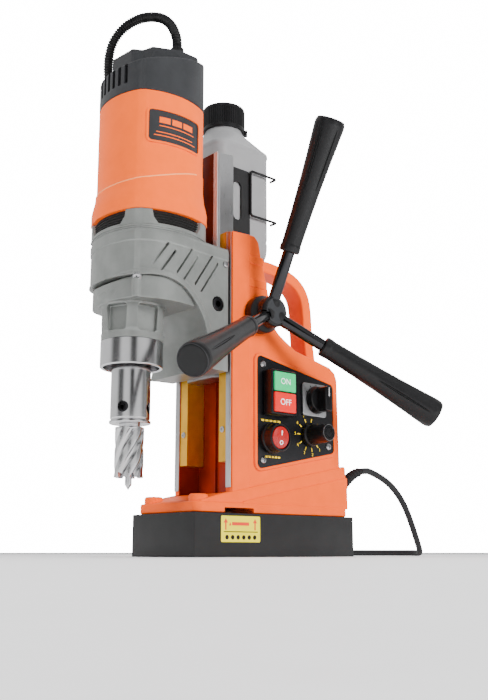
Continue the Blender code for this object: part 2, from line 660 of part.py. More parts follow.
def motor_cap(look):
    low = bulged_square(53.4 * MM, MOTOR_Y)
    cap = slab("motor_cap", low, MOTOR_TOP + GAP, 492 * MM, look["cap"])
    front = MOTOR_Y - 0.72 * 53.4 * MM
    lid = box("cap_slope", (-80 * MM, -40 * MM, 0), (80 * MM, 200 * MM, 60 * MM))
    lid.matrix_world = (Matrix.Translation((0, front, CAP_FRONT_TOP)) @ Matrix.Rotation(CAP_SLOPE, 4, "X")
                        @ lid.matrix_world)
    cut(cap, lid)
    plateau = rounded(mm([(-38.5, -153.5), (-4, -150.5), (1, -141), (13, -137.5), (25.5, -111), (25.5, -90),
                          (20, -84), (-28, -84), (-38.5, -97)]), 3.5 * MM)
    join(cap, slab("cap_plateau", plateau, 460 * MM, CAP_PLATEAU))
    cut(cap, rod("cap_hollow", (0, MOTOR_Y, 430 * MM), (0, MOTOR_Y, 466 * MM), 44 * MM, sides=32))
    for i in range(7):
        x = (14 - 7.4 * i) * MM
        cut(cap, box("cap_vent", (x - 1.8 * MM, -190 * MM, 450 * MM), (x + 1.8 * MM, -160 * MM, 465.5 * MM)))
    turned("conduit_gland", mm([(0, 512), (6.8, 512), (7.5, 505.3), (0, 505.3)]), (15 * MM, -108 * MM, 0),
           look["black"], steps=16)


# ---------------------------------------------------------------- gear train and spindle

def stage_point():
    """Layshaft centre: meshes with the armature pinion and with the spindle gear."""
    first = sum(STAGE1_TEETH) * STAGE1_MODULE / 2
    second = sum(STAGE2_TEETH) * STAGE2_MODULE / 2
    apart = MOTOR_Y - SPINDLE_Y
    along = (second ** 2 - first ** 2 - apart ** 2) / (2 * apart)
    return -math.sqrt(first ** 2 - along ** 2), MOTOR_Y + along


def line_angle(start, end):
    return math.atan2(end[1] - start[1], end[0] - start[0])


def gear_train(look):
    lay = stage_point()
    wheel_teeth, pinion_teeth = STAGE1_TEETH[1], STAGE2_TEETH[0]
    back = line_angle(lay, (0, MOTOR_Y))
    wheel = slab("layshaft_gear",
                 shifted(gear_outline(wheel_teeth, STAGE1_MODULE, back + math.pi / wheel_teeth), *lay),
                 276 * MM, 284 * MM, look["steel"])
    cut(wheel, rod("wheel_bore", (*lay, 270 * MM), (*lay, 290 * MM), 5.3 * MM, sides=16))
    towards = line_angle(lay, (0, SPINDLE_Y))
    shaft = slab("layshaft", shifted(gear_outline(pinion_teeth, STAGE2_MODULE, towards), *lay),
                 263 * MM, 274.5 * MM, look["steel"])
    join(shaft, rod("layshaft_core", (*lay, 255.5 * MM), (*lay, 294 * MM), 5 * MM, sides=16))
    hang(pivot("layshaft_axis", *lay, 0), wheel, shaft)
    facing = line_angle((0, SPINDLE_Y), lay)
    teeth = STAGE2_TEETH[1]
    outline = gear_outline(teeth, STAGE2_MODULE, facing + math.pi / teeth)
    gear = slab("spindle_gear", shifted(outline, 0, SPINDLE_Y), 263.5 * MM, 273 * MM, look["steel"])
    cut(gear, rod("gear_bore", (0, SPINDLE_Y, 250 * MM), (0, SPINDLE_Y, 280 * MM), 9.3 * MM, sides=20))
    return gear


def cutter(look):
    rings = []
    levels = 8
    for level in range(levels + 1):
        height = CUTTER_BOTTOM + (CUTTER_TOP - CUTTER_BOTTOM) * level / levels
        twist = math.radians(110) * level / levels
        ring = []
        for flute in range(6):
            base = twist + math.pi / 3 * flute
            for share, r in ((0.0, CUTTER_R), (0.52, CUTTER_R), (0.62, 11.4 * MM), (0.94, 11.4 * MM)):
                a = base + share * math.pi / 3
                ring.append((r * math.cos(a), SPINDLE_Y + r * math.sin(a), height))
        rings.append(ring)
    tool = loft("annular_cutter", rings, look["steel"])
    join(tool, rod("shank", (0, SPINDLE_Y, 115 * MM), (0, SPINDLE_Y, 150 * MM), SHANK_R, sides=20))
    cut(tool, rod("cutter_bore", (0, SPINDLE_Y, 60 * MM), (0, SPINDLE_Y, 111 * MM), 9.6 * MM, sides=20),
        rod("pilot_bore", (0, SPINDLE_Y, 100 * MM), (0, SPINDLE_Y, 160 * MM), 3.6 * MM, sides=16))
    for i in range(6):
        turn = math.radians(60) * i + math.radians(45)
        gash = box("gash", (8 * MM, -2 * MM, 66 * MM), (16 * MM, 2 * MM, 73.5 * MM))
        gash.matrix_world = (Matrix.Translation((0, SPINDLE_Y, 0)) @ Matrix.Rotation(turn, 4, "Z")
                             @ gash.matrix_world)
        cut(tool, gash)
    return tool


def spindle(look):
    centre = (0, SPINDLE_Y, 0)
    profile = mm([(0, 274.8), (9, 274.8), (9, 197.5), (18.6, 196), (18.6, 123), (19.4, 123), (19.4, 120.3),
                  (9.8, 120.3), (9.8, 190), (0, 190)])
    arbor = turned("arbor", profile, centre, look["steel"], steps=28)
    pieces = [arbor]
    for name, azimuth in (("arbor_screw_front", 34), ("arbor_screw_side", 125)):
        turn = math.radians(azimuth - 90)
        away = Vector((math.cos(turn), math.sin(turn), 0))
        at = Vector((0, SPINDLE_Y, 134.5 * MM))
        cut(arbor, rod(name + "_hole", at + away * 10.5 * MM, at + away * 22 * MM, 5.3 * MM, sides=16))
        screw = rod(name, at + away * 11 * MM, at + away * 17 * MM, 4.9 * MM, look=look["black"], sides=16)
        cut(screw, rod(name + "_hex", at + away * 14 * MM, at + away * 20 * MM, 2.9 * MM, sides=6))
        pieces.append(screw)
    shape = mm([(0, 151.8), (7, 151.8), (7, 150.4), (3.2, 150.4), (3.2, 63.5), (0.4, 59.5), (0, 59.5)])
    pilot = turned("pilot_pin", shape, centre, look["steel"], steps=14)
    coils = 6
    per_turn = 8
    spring_path = []
    for i in range(coils * per_turn + 1):
        a = 2 * math.pi * i / per_turn
        spring_path.append((6 * MM * math.cos(a), SPINDLE_Y + 6 * MM * math.sin(a),
                            (153 + 35.5 * i / (coils * per_turn)) * MM))
    spring = tube("pilot_spring", spring_path, 0.9 * MM, look["steel"], resolution=1)
    tool = cutter(look)
    gear = gear_train(look)
    hang(pivot("spindle_axis", *centre), *pieces, spring, tool, gear)
    hang(pivot("pilot_axis", 0, SPINDLE_Y, PILOT_TIP), pilot)


# ---------------------------------------------------------------- bottle

def bottle(look):
    plate_x = BRACKET_X - 2 * MM
    shelf = box("bottle_bracket", (-98 * MM, -32 * MM, COLUMN_TOP + GAP),
                (BRACKET_X, 54 * MM, COLUMN_TOP + GAP + 2 * MM), look["magnet"])
    upright = rounded(mm([(-32, 321), (22, 321), (22, 424), (-32, 424)]), 4 * MM)
    join(shelf, slab("upright", upright, plate_x, BRACKET_X, across="X"))
    view_slot = rounded(mm([(-2.5, 363), (9.5, 363), (9.5, 408), (-2.5, 408)]), 5.5 * MM)
    cut(shelf, slab("view_slot", view_slot, plate_x - 5 * MM, BRACKET_X + 5 * MM, across="X"))
    wire = mm([(-27, 60.7, 372), (-20, 60.7, 372), (-17.2, 58, 372), (-17.2, 26, 372), (-17.2, 21.5, 376.5),
               (-17.2, 21.5, 420.5), (-17.2, 26, 425), (-17.2, 58, 425), (-20, 60.7, 425), (-27, 60.7, 425)])
    tube("bottle_clip", wire, 1.4 * MM, look["black"], resolution=2)
    centre = Vector((BOTTLE_X, BOTTLE_Y, 0))

    def section(side, radius, height):
        flat = rounded(rectangle(-side, -side, side, side), radius, count=4)
        return [(centre.x + x, centre.y + y, height) for x, y in flat]

    steps = ((BOTTLE_BOTTOM, 33, 12), (BOTTLE_BOTTOM + 8 * MM, 38.5, 13), (345 * MM, 39.4, 13),
             (450 * MM, 39.4, 13), (451.5 * MM, 40.2, 13.5), (455 * MM, 40.2, 14), (457 * MM, 38.5, 15),
             (466 * MM, 33, 22), (477 * MM, 25, 24.5), (481.5 * MM, 23, 22.8), (484 * MM, 21.5, 21.3),
             (504 * MM, 21.5, 21.3))
    outer = loft("coolant_bottle", [section(s * MM, r * MM, h) for h, s, r in steps], look["bottle"])
    inner_steps = ((BOTTLE_BOTTOM + 2 * MM, 31, 10), (BOTTLE_BOTTOM + 9 * MM, 36.5, 11),
                   (345 * MM, 37.4, 11), (450 * MM, 37.4, 11), (456 * MM, 36.5, 13), (465 * MM, 31, 20),
                   (476 * MM, 23, 22.5), (481 * MM, 20, 19.8), (483 * MM, 19.3, 19.1), (508 * MM, 19.3, 19.1))
    cut(outer, loft("bottle_hollow", [section(s * MM, r * MM, h) for h, s, r in inner_steps]))
    hang(pivot("bottle_axis", BOTTLE_X, BOTTLE_Y, BOTTLE_BOTTOM), outer)
    cap_profile = mm([(0, 514), (23.5, 514), (25, 512), (25, 484.5), (22, 484.5), (22, 504.6), (0, 504.6)])
    cap = turned("bottle_cap", cap_profile, (BOTTLE_X, BOTTLE_Y, 0), look["black"], steps=28)
    hang(pivot("bottle_cap_axis", BOTTLE_X, BOTTLE_Y, 484.5 * MM), cap)


# ---------------------------------------------------------------- conduit and cord

CONDUIT_ROUTE = [(15, -108, 512.4), (14.2, -109, 526), (7, -112, 543), (-7, -118, 555), (-29, -127, 559.5),
                 (-50, -135, 552.5), (-63, -139.5, 534), (-68, -137.5, 503), (-69, -124, 462), (-68.5, -100, 410),
                 (-67.5, -73, 355), (-66, -47, 302), (-65, -25, 258), (-64.5, -7, 231), (-63, 4, 218.5),
                 (-59.5, 8, 214.3), (-56, 8.2, 214)]
CORD_ROUTE = [(20, 151.2, 92), (20, 161, 93.4), (19.5, 175, 90.5), (19, 194, 84), (18, 212, 73.5),
              (16, 229, 58.5), (13, 244, 40), (9, 258, 21), (3, 271, 8.5), (-6, 282, 3.9), (-22, 292, 3.7),
              (-42, 294, 3.7), (-62, 286, 3.7), (-76, 270, 3.7), (-83, 248, 3.7), (-84.5, 222, 3.7),
              (-82, 190, 3.7), (-77.5, 158, 3.7), (-74.5, 128, 3.7)]


def conduit(look):
    tube("motor_conduit", smooth_path(mm(CONDUIT_ROUTE), 3), 5.5 * MM, look["black"])
    rod("conduit_elbow", (-54.9 * MM, 8 * MM, 214 * MM), (-44.3 * MM, 8 * MM, 214 * MM), 7 * MM, 9 * MM,
        look["black"], sides=16)


def cord(look):
    relief = smooth_path(mm([(20, 101.6, 66), (20, 107, 66), (20, 117, 72.5), (20, 130, 82.5),
                             (20, 141, 88.8), (20, 150.4, 91.8)]), 3)
    tube("strain_relief", relief, 7.5 * MM, look["rubber"], taper=lambda t: 1 - 0.42 * t)
    tube("power_cord", smooth_path(mm(CORD_ROUTE), 3), CORD_D / 2, look["rubber"])
    low, high = 0.2 * MM, 22 * MM
    inner, outer = COIL_MEAN_R - COIL_HALF, COIL_MEAN_R + COIL_HALF
    turned("cord_coil", [(outer, high), (outer, low), (inner, low), (inner, high)], (COIL_X, COIL_Y, 0),
           look["rubber"], steps=32)
    plug_y = COIL_Y - 45.5 * MM
    plug = box("mains_plug", (COIL_X - 84 * MM, plug_y - 13 * MM, 0.3 * MM),
               (COIL_X - 44 * MM, plug_y + 13 * MM, 24 * MM), look["black"], bevel=3 * MM)
    join(plug, rod("plug_lead", (COIL_X - 50 * MM, plug_y, 12 * MM), (COIL_X - 28 * MM, plug_y, 14 * MM),
                   CORD_D / 2, sides=12))
    for dy in (-6.35, 6.35):
        join(plug, box("blade_pin", (COIL_X - 101 * MM, plug_y + (dy - 0.75) * MM, 12.8 * MM),
                       (COIL_X - 80 * MM, plug_y + (dy + 0.75) * MM, 19.2 * MM)))
    join(plug, rod("earth_pin", (COIL_X - 103 * MM, plug_y, 6.5 * MM), (COIL_X - 80 * MM, plug_y, 6.5 * MM),
                   2.4 * MM, sides=12))


def main():
    clear_scene()
    make_collections()
    look = make_looks()
    magnet(look)
    stand_casting(look)
    slide_ways(look)
    controls(look)
    feed_wheel(look)
    slide_and_rack(look)
    gear_case(look)
    spindle_housing(look)
    motor(look)
    motor_cap(look)
    spindle(look)
    bottle(look)
    conduit(look)
    cord(look)


main()
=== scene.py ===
"""Magnetic drill press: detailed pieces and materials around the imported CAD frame. Metres, +Z up."""

import math

import bmesh
import bpy
from mathutils import Matrix, Vector


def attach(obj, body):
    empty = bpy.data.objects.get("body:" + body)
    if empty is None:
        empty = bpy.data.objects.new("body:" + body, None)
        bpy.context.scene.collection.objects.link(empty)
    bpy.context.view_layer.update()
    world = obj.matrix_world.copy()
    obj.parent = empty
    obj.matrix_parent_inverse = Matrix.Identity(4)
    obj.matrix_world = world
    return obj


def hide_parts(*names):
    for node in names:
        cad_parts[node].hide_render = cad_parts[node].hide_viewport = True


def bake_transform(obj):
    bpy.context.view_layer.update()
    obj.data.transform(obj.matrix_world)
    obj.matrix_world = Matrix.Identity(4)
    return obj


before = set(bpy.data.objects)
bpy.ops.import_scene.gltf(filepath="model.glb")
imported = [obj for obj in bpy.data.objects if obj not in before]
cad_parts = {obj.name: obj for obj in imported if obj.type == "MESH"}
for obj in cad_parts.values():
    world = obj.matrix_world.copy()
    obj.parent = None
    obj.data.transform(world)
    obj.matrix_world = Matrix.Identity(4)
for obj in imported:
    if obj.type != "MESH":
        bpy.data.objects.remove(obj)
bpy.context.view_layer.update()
MM = 0.001
MOTOR_Y = -128  # mm, the motor's axis
SPINDLE_Y = -144  # mm, the spindle's axis


# ---------------------------------------------------------------- materials

def surface(name, colour, rough, metal=0.0, grain=0.6, bump=0.1, vary=0.07, patch=18, stretch=(1, 1, 1),
            coat=0.0, spread=0.25, clear=0.0, speck=0.0, shine=0.5):
    """A procedural finish. grain and patch are the sizes of its fine and broad variation in mm."""
    mat = bpy.data.materials.new(name)
    mat.use_nodes = True
    nodes, links = mat.node_tree.nodes, mat.node_tree.links
    shader = nodes["Principled BSDF"]
    shader.inputs["Metallic"].default_value = metal
    shader.inputs["Coat Weight"].default_value = coat
    shader.inputs["Specular IOR Level"].default_value = shine
    shader.inputs["Coat Roughness"].default_value = 0.12
    shader.inputs["Transmission Weight"].default_value = clear
    where = nodes.new("ShaderNodeTexCoord")
    scaled = nodes.new("ShaderNodeMapping")
    scaled.inputs["Scale"].default_value = stretch
    links.new(where.outputs["Object"], scaled.inputs["Vector"])
    fine = nodes.new("ShaderNodeTexNoise")
    fine.inputs["Scale"].default_value = 1 / (grain * MM)
    fine.inputs["Detail"].default_value = 4
    links.new(scaled.outputs["Vector"], fine.inputs["Vector"])
    broad = nodes.new("ShaderNodeTexNoise")
    broad.inputs["Scale"].default_value = 1 / (patch * MM)
    broad.inputs["Detail"].default_value = 3
    links.new(where.outputs["Object"], broad.inputs["Vector"])
    tone = nodes.new("ShaderNodeValToRGB")
    tone.color_ramp.elements[0].position = 0.3
    tone.color_ramp.elements[1].position = 0.7
    tone.color_ramp.elements[0].color = (*[c * (1 - vary) for c in colour], 1)
    tone.color_ramp.elements[1].color = (*[min(c * (1 + vary), 1) for c in colour], 1)
    links.new(broad.outputs["Fac"], tone.inputs["Fac"])
    out = tone.outputs["Color"]
    if speck:
        dust = nodes.new("ShaderNodeMix")
        dust.data_type = "RGBA"
        grit = nodes.new("ShaderNodeMapRange")
        grit.inputs["From Min"].default_value = 0.55
        grit.inputs["From Max"].default_value = 0.75
        grit.inputs["To Max"].default_value = speck
        links.new(fine.outputs["Fac"], grit.inputs["Value"])
        links.new(grit.outputs["Result"], dust.inputs["Factor"])
        links.new(out, dust.inputs["A"])
        dust.inputs["B"].default_value = (*[min(c * 1.8 + 0.05, 1) for c in colour], 1)
        out = dust.outputs["Result"]
    links.new(out, shader.inputs["Base Color"])
    gloss = nodes.new("ShaderNodeMapRange")
    gloss.inputs["To Min"].default_value = rough * (1 - spread)
    gloss.inputs["To Max"].default_value = min(rough * (1 + spread), 1)
    links.new(fine.outputs["Fac"], gloss.inputs["Value"])
    links.new(gloss.outputs["Result"], shader.inputs["Roughness"])
    relief = nodes.new("ShaderNodeBump")
    relief.inputs["Strength"].default_value = bump
    relief.inputs["Distance"].default_value = 0.2 * MM
    links.new(fine.outputs["Fac"], relief.inputs["Height"])
    links.new(relief.outputs["Normal"], shader.inputs["Normal"])
    return mat


LOOK = {
    "orange_paint": surface("orange_paint", (0.90, 0.10, 0.0), 0.42, grain=1.1, bump=0.14, vary=0.04,
                            shine=0.25),
    # painted shade: dark red that stands for the orange paint inside the channel lying in shadow
    "channel_painted_shade": surface("channel_painted_shade", (0.30, 0.018, 0.004), 0.34, grain=0.9, bump=0.14, vary=0.12,
                           shine=0.4),
    "motor_orange": surface("motor_orange", (0.95, 0.12, 0.0), 0.44, grain=0.5, bump=0.1, vary=0.04,
                            shine=0.25),
    "magnet_paint": surface("magnet_paint", (0.016, 0.016, 0.0165), 0.5, grain=0.7, bump=0.25, vary=0.12,
                            speck=0.06,
                            shine=0.3),
    "grey_casting": surface("grey_casting", (0.22, 0.23, 0.22), 0.36, 0.45, grain=0.5, bump=0.3, vary=0.1),
    "machined_steel": surface("machined_steel", (0.5, 0.5, 0.51), 0.3, 1.0, grain=0.7, bump=0.14, vary=0.08,
                              stretch=(1, 1, 0.04)),
    "cutter_steel": surface("cutter_steel", (0.68, 0.68, 0.69), 0.24, 1.0, grain=0.5, bump=0.12, vary=0.08),
    "chrome": surface("chrome", (0.66, 0.66, 0.67), 0.2, 1.0, grain=0.5, bump=0.04, vary=0.04,
                      stretch=(0.1, 0.1, 1)),
    "brass": surface("brass", (0.80, 0.42, 0.03), 0.36, 0.6, grain=0.6, bump=0.12, vary=0.08,
                     stretch=(1, 1, 0.05)),
    "copper": surface("copper", (0.62, 0.24, 0.1), 0.4, 1.0, grain=0.5, bump=0.5, vary=0.15,
                      stretch=(1, 1, 0.2)),
    "black_plastic": surface("black_plastic", (0.006, 0.006, 0.0065), 0.34, grain=0.4, bump=0.2, vary=0.15,
                             speck=0.02, shine=0.28),
    "panel_black": surface("panel_black", (0.006, 0.006, 0.007), 0.3, grain=0.35, bump=0.12, vary=0.12,
                           shine=0.3),
    "cap_plastic": surface("cap_plastic", (0.024, 0.025, 0.027), 0.42, grain=0.45, bump=0.3, vary=0.12,
                           speck=0.03,
                           shine=0.35),
    "rubber": surface("rubber", (0.014, 0.014, 0.015), 0.6, grain=0.5, bump=0.3, vary=0.18, speck=0.03,
                      shine=0.3),
    "bottle_plastic": surface("bottle_plastic", (0.27, 0.27, 0.275), 0.36, grain=1.4, bump=0.06, vary=0.05,
                              clear=0.12),
    "green_plastic": surface("green_plastic", (0.0, 0.5, 0.16), 0.34, grain=0.5, bump=0.06, vary=0.05,
                             shine=0.35),
    "red_plastic": surface("red_plastic", (0.72, 0.012, 0.01), 0.34, grain=0.5, bump=0.06, vary=0.05,
                           shine=0.35),
    "rocker_red": surface("rocker_red", (0.38, 0.006, 0.006), 0.22, grain=0.5, bump=0.06, vary=0.08,
                          clear=0.1),
    "board": surface("board", (0.01, 0.12, 0.05), 0.4, grain=0.8, bump=0.2, vary=0.2),
    "white_ink": surface("white_ink", (0.9, 0.9, 0.9), 0.5, grain=0.3, bump=0.05, vary=0.03),
    "yellow_ink": surface("yellow_ink", (0.9, 0.6, 0.01), 0.45, grain=0.3, bump=0.05, vary=0.05),
    "label_yellow": surface("label_yellow", (0.85, 0.72, 0.004), 0.45, grain=0.5, bump=0.05, vary=0.04,
                            shine=0.3),
    "label_red": surface("label_red", (0.7, 0.04, 0.01), 0.45, grain=0.3, bump=0.05, vary=0.05),
    "dark_steel": surface("dark_steel", (0.045, 0.045, 0.048), 0.16, 1.0, grain=0.5, bump=0.05, vary=0.06),
    # painted highlight: a light, barely metallic steel for the bright line of the slide's bare-steel chamfers
    "chamfer_painted_highlight": surface("chamfer_painted_highlight", (0.72, 0.72, 0.73), 0.3, 0.25, grain=0.6, bump=0.08, vary=0.05,
                            stretch=(1, 1, 0.05)),
    # painted highlight: a lighter orange for the light that the motor's crease step catches
    "crease_painted_highlight": surface("crease_painted_highlight", (1.0, 0.34, 0.12), 0.4, grain=0.5, bump=0.08, vary=0.04,
                            shine=0.4),
    # painted reflection and shade: dark reddish brown for the orange motor mirrored in the slide's shaded
    # front face
    "slide_painted_reflection": surface("slide_painted_reflection", (0.09, 0.022, 0.016), 0.3, 0.5, grain=0.6, bump=0.1, vary=0.15,
                           stretch=(1, 1, 0.05)),
    "dark_void": surface("dark_void", (0.008, 0.0075, 0.007), 0.7, grain=0.8, bump=0.3, vary=0.2),
}


# ---------------------------------------------------------------- shape helpers

def shift(x, y, z):
    return Matrix.Translation(Vector((x, y, z)) * MM)


def mesh_object(name, bm, matrix=None):
    data = bpy.data.meshes.new(name)
    bm.to_mesh(data)
    bm.free()
    obj = bpy.data.objects.new(name, data)
    obj.matrix_world = matrix or Matrix.Identity(4)
    bpy.context.scene.collection.objects.link(obj)
    return obj


def applied(obj):
    """Turns the modifiers and the object's transform into plain mesh."""
    bpy.context.view_layer.update()
    graph = bpy.context.evaluated_depsgraph_get()
    data = bpy.data.meshes.new_from_object(obj.evaluated_get(graph))
    data.transform(obj.matrix_world)
    made = bpy.data.objects.new(obj.name, data)
    name = obj.name
    bpy.data.objects.remove(obj, do_unlink=True)
    made.name = name
    bpy.context.scene.collection.objects.link(made)
    return made


def modified(obj, kind, **values):
    step = obj.modifiers.new(kind.lower(), kind)
    for key, value in values.items():
        setattr(step, key, value)
    return obj


def soften(obj, width, segments=3, angle=32):
    """Rounds the edges of a solid."""
    modified(obj, "BEVEL", width=width * MM, segments=segments, limit_method="ANGLE",
             angle_limit=math.radians(angle), use_clamp_overlap=True)
    return applied(obj)


def volume(obj):
    bm = bmesh.new()
    bm.from_mesh(obj.data)
    found = bm.calc_volume(signed=True)
    bm.free()
    return found


def boolean(obj, operation, *others):
    """The solver can hand back an empty or a half-lost mesh without a word, so the volume is checked."""
    before = volume(obj)
    for other in others:
        modified(obj, "BOOLEAN", operation=operation, object=other, solver="EXACT")
    made = applied(obj)
    after = volume(made)
    grew, shrank = after > 1.03 * before, after < 0.97 * before
    if after <= 0 or (shrank if operation == "UNION" else grew):
        raise RuntimeError(f"{made.name}: {operation} took {before * 1e6:.2f} ml to {after * 1e6:.2f} ml")
    for other in others:
        bpy.data.objects.remove(other, do_unlink=True)
    return made


def cut(obj, *others):
    return boolean(obj, "DIFFERENCE", *others)


def join(obj, *others):
    return boolean(obj, "UNION", *others)


def cast(obj, voxel, rounds=4, keep=0.5):
    """Small fillets all over, as a casting or moulding has."""
    modified(obj, "REMESH", mode="VOXEL", voxel_size=voxel * MM)
    modified(obj, "SMOOTH", factor=0.5, iterations=rounds)
    modified(obj, "DECIMATE", ratio=keep)
    return applied(obj)


def box(name, low, high, bevel=0.0, segments=3):
    low, high = Vector(low) * MM, Vector(high) * MM
    bm = bmesh.new()
    bmesh.ops.create_cube(bm, size=1)
    bmesh.ops.scale(bm, vec=high - low, verts=bm.verts)
    obj = mesh_object(name, bm, Matrix.Translation((low + high) / 2))
    return soften(obj, bevel, segments) if bevel else applied(obj)


def rod(name, start, end, r_start, r_end=None, sides=64, bevel=0.0):
    start, end = Vector(start) * MM, Vector(end) * MM
    bm = bmesh.new()
    bmesh.ops.create_cone(bm, cap_ends=True, segments=sides, radius1=r_start * MM,
                          radius2=(r_start if r_end is None else r_end) * MM, depth=(end - start).length)
    turn = (end - start).to_track_quat("Z", "Y").to_matrix().to_4x4()
    obj = mesh_object(name, bm, Matrix.Translation((start + end) / 2) @ turn)
    return soften(obj, bevel, 3, 40) if bevel else applied(obj)


def soft(profile, radius, count=3):
    """The open profile with its inner corners rounded, as far as the neighbouring edges allow."""
    made = [profile[0]]
    for before, here, after in zip(profile, profile[1:], profile[2:]):
        here_v, b, a = Vector(here), Vector(before) - Vector(here), Vector(after) - Vector(here)
        reach = min(radius, 0.45 * b.length, 0.45 * a.length)
        start, end = here_v + b.normalized() * reach, here_v + a.normalized() * reach
        for k in range(count + 1):
            t = k / count
            made.append(tuple(start * (1 - t) ** 2 + here_v * 2 * t * (1 - t) + end * t ** 2))
    return [*made, profile[-1]]


def turned(name, profile, centre, axis="Z", steps=96, radius=0.5):
    """A profile of (radius, height) in mm that starts and ends on the axis, or a closed one that doesn't."""
    closed = profile[0][0] > 0
    if closed:
        profile = [*profile, profile[0]]
    points = soft(profile, radius) if radius else profile
    bm = bmesh.new()
    ring = [bm.verts.new((r * MM, 0, h * MM)) for r, h in (points[:-1] if closed else points)]
    for a, b in zip(ring, ring[1:]):
        bm.edges.new((a, b))
    if closed:
        bm.edges.new((ring[-1], ring[0]))
    turn = Matrix.Rotation(math.pi / 2, 4, "Y") if axis == "X" else Matrix.Identity(4)
    obj = mesh_object(name, bm, Matrix.Translation(Vector(centre) * MM) @ turn)
    modified(obj, "SCREW", steps=steps, render_steps=steps, use_merge_vertices=True, merge_threshold=0.00001)
    return outward(applied(obj))


def outward(obj):
    bm = bmesh.new()
    bm.from_mesh(obj.data)
    bmesh.ops.remove_doubles(bm, verts=bm.verts, dist=0.000005)
    bmesh.ops.recalc_face_normals(bm, faces=bm.faces)
    if bm.calc_volume(signed=True) < 0:
        bmesh.ops.reverse_faces(bm, faces=bm.faces)
    bm.to_mesh(obj.data)
    bm.free()
    return obj


def prism(name, outline, low, high, across="Z", bevel=0.0, segments=3, angle=32):
    """A flat outline (mm) given a thickness along Z, or along X with (y, z) points."""
    bm = bmesh.new()
    if across == "Z":
        rows = [[bm.verts.new((x * MM, y * MM, h * MM)) for x, y in outline] for h in (low, high)]
    else:
        rows = [[bm.verts.new((h * MM, y * MM, z * MM)) for y, z in outline] for h in (low, high)]
    for i in range(len(outline)):
        j = (i + 1) % len(outline)
        bm.faces.new((rows[0][i], rows[0][j], rows[1][j], rows[1][i]))
    bm.faces.new(rows[0][::-1])
    bm.faces.new(rows[1])
    obj = outward(mesh_object(name, bm))
    return soften(obj, bevel, segments, angle) if bevel else obj


def loft(name, rings):
    """A closed solid through rings of equally many points, in mm."""
    bm = bmesh.new()
    rows = [[bm.verts.new(Vector(p) * MM) for p in ring] for ring in rings]
    for low, high in zip(rows, rows[1:]):
        for i in range(len(low)):
            j = (i + 1) % len(low)
            bm.faces.new((low[i], low[j], high[j], high[i]))
    bm.faces.new(rows[0][::-1])
    bm.faces.new(rows[-1])
    return outward(mesh_object(name, bm))


def sweep(name, path, radius, sides=14, squash=1.0):
    """A closed tube along points in mm. radius is a number, or gives it at each distance along."""
    path = [Vector(p) for p in path]
    rings, run = [], 0.0
    along = (path[1] - path[0]).normalized()
    side = along.orthogonal().normalized()
    for i, point in enumerate(path):
        ahead = path[min(i + 1, len(path) - 1)] - path[max(i - 1, 0)]
        ahead.normalize()
        side = (side - ahead * side.dot(ahead)).normalized()
        other = ahead.cross(side)
        if i:
            run += (point - path[i - 1]).length
        r = radius(run) if callable(radius) else radius
        rings.append([point + r * (math.cos(a) * side + squash * math.sin(a) * other)
                      for a in (2 * math.pi * k / sides for k in range(sides))])
    return loft(name, rings)


def smooth_path(points, per_span):
    points = [Vector(p) for p in points]
    ends = [2 * points[0] - points[1], *points, 2 * points[-1] - points[-2]]
    path = []
    for a, b, c, d in zip(ends, ends[1:], ends[2:], ends[3:]):
        for i in range(per_span):
            t = i / per_span
            path.append(0.5 * ((2 * b) + (c - a) * t + (2 * a - 5 * b + 4 * c - d) * t * t
                               + (3 * b - a - 3 * c + d) * t ** 3))
    return [*path, points[-1]]


def even_path(points, step):
    """The same line with points a fixed distance apart."""
    fine = smooth_path(points, 24)
    made, carry = [fine[0]], 0.0
    for a, b in zip(fine, fine[1:]):
        length = (b - a).length
        at = step - carry
        while at <= length:
            made.append(a.lerp(b, at / length))
            at += step
        carry = length - (at - step)
    if (made[-1] - fine[-1]).length < step * 0.4:
        made.pop()
    return [*made, fine[-1]]


def path_length(path):
    return sum((Vector(b) - Vector(a)).length for a, b in zip(path, path[1:]))


def rounded(points, radius, count=5):
    made = []
    for i, corner in enumerate(points):
        here = Vector(corner)
        before = (Vector(points[i - 1]) - here).normalized()
        after = (Vector(points[(i + 1) % len(points)]) - here).normalized()
        half = before.angle(after) / 2
        reach = radius / math.tan(half)
        centre = here + (before + after).normalized() * (radius / math.sin(half))
        start = here + before * reach - centre
        end = here + after * reach - centre
        for k in range(count + 1):
            made.append(tuple(centre + start.lerp(end, k / count).normalized() * radius))
    return made


def rectangle(x0, y0, x1, y1):
    return [(x0, y0), (x1, y0), (x1, y1), (x0, y1)]


def bulged_square(corner, cy, count=20, blunt=0.07):
    """Four shallow arcs that meet at softened corners on the diagonals, about (0, cy), in mm."""
    arc_r = 1.334 * corner
    half = corner * math.sin(math.pi / 4)
    offset = math.sqrt(arc_r ** 2 - half ** 2) - half
    spread = math.asin(half / arc_r) * (1 - blunt)
    points = []
    for side in range(4):
        facing = side * math.pi / 2
        for i in range(count + 1):
            a = facing - spread + 2 * spread * i / count
            points.append((-offset * math.cos(facing) + arc_r * math.cos(a),
                           cy - offset * math.sin(facing) + arc_r * math.sin(a)))
        a = facing + math.pi / 4
        points.append((corner * 0.985 * math.cos(a), cy + corner * 0.985 * math.sin(a)))
    return points


def band(path, half):
    path = [Vector(p) for p in path]
    sides = ([], [])
    for i, point in enumerate(path):
        along = path[min(i + 1, len(path) - 1)] - path[max(i - 1, 0)]
        across = Vector((-along.y, along.x)).normalized() * half
        sides[0].append(tuple(point + across))
        sides[1].append(tuple(point - across))
    return sides[0] + sides[1][::-1]


def placed(obj, matrix):
    obj.data.transform(matrix)
    return obj


def piece(obj, body, look, slot, *nodes, angle=38):
    """Gives a finished piece its material, shading and body, and hides the CAD nodes that it stands for."""
    obj.data.materials.clear()
    obj.data.materials.append(LOOK[look])
    if obj.type == "MESH":
        obj.data.shade_smooth()
        obj.data.set_sharp_from_angle(angle=math.radians(angle))
    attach(obj, body)
    if nodes:
        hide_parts(*nodes)
    return obj


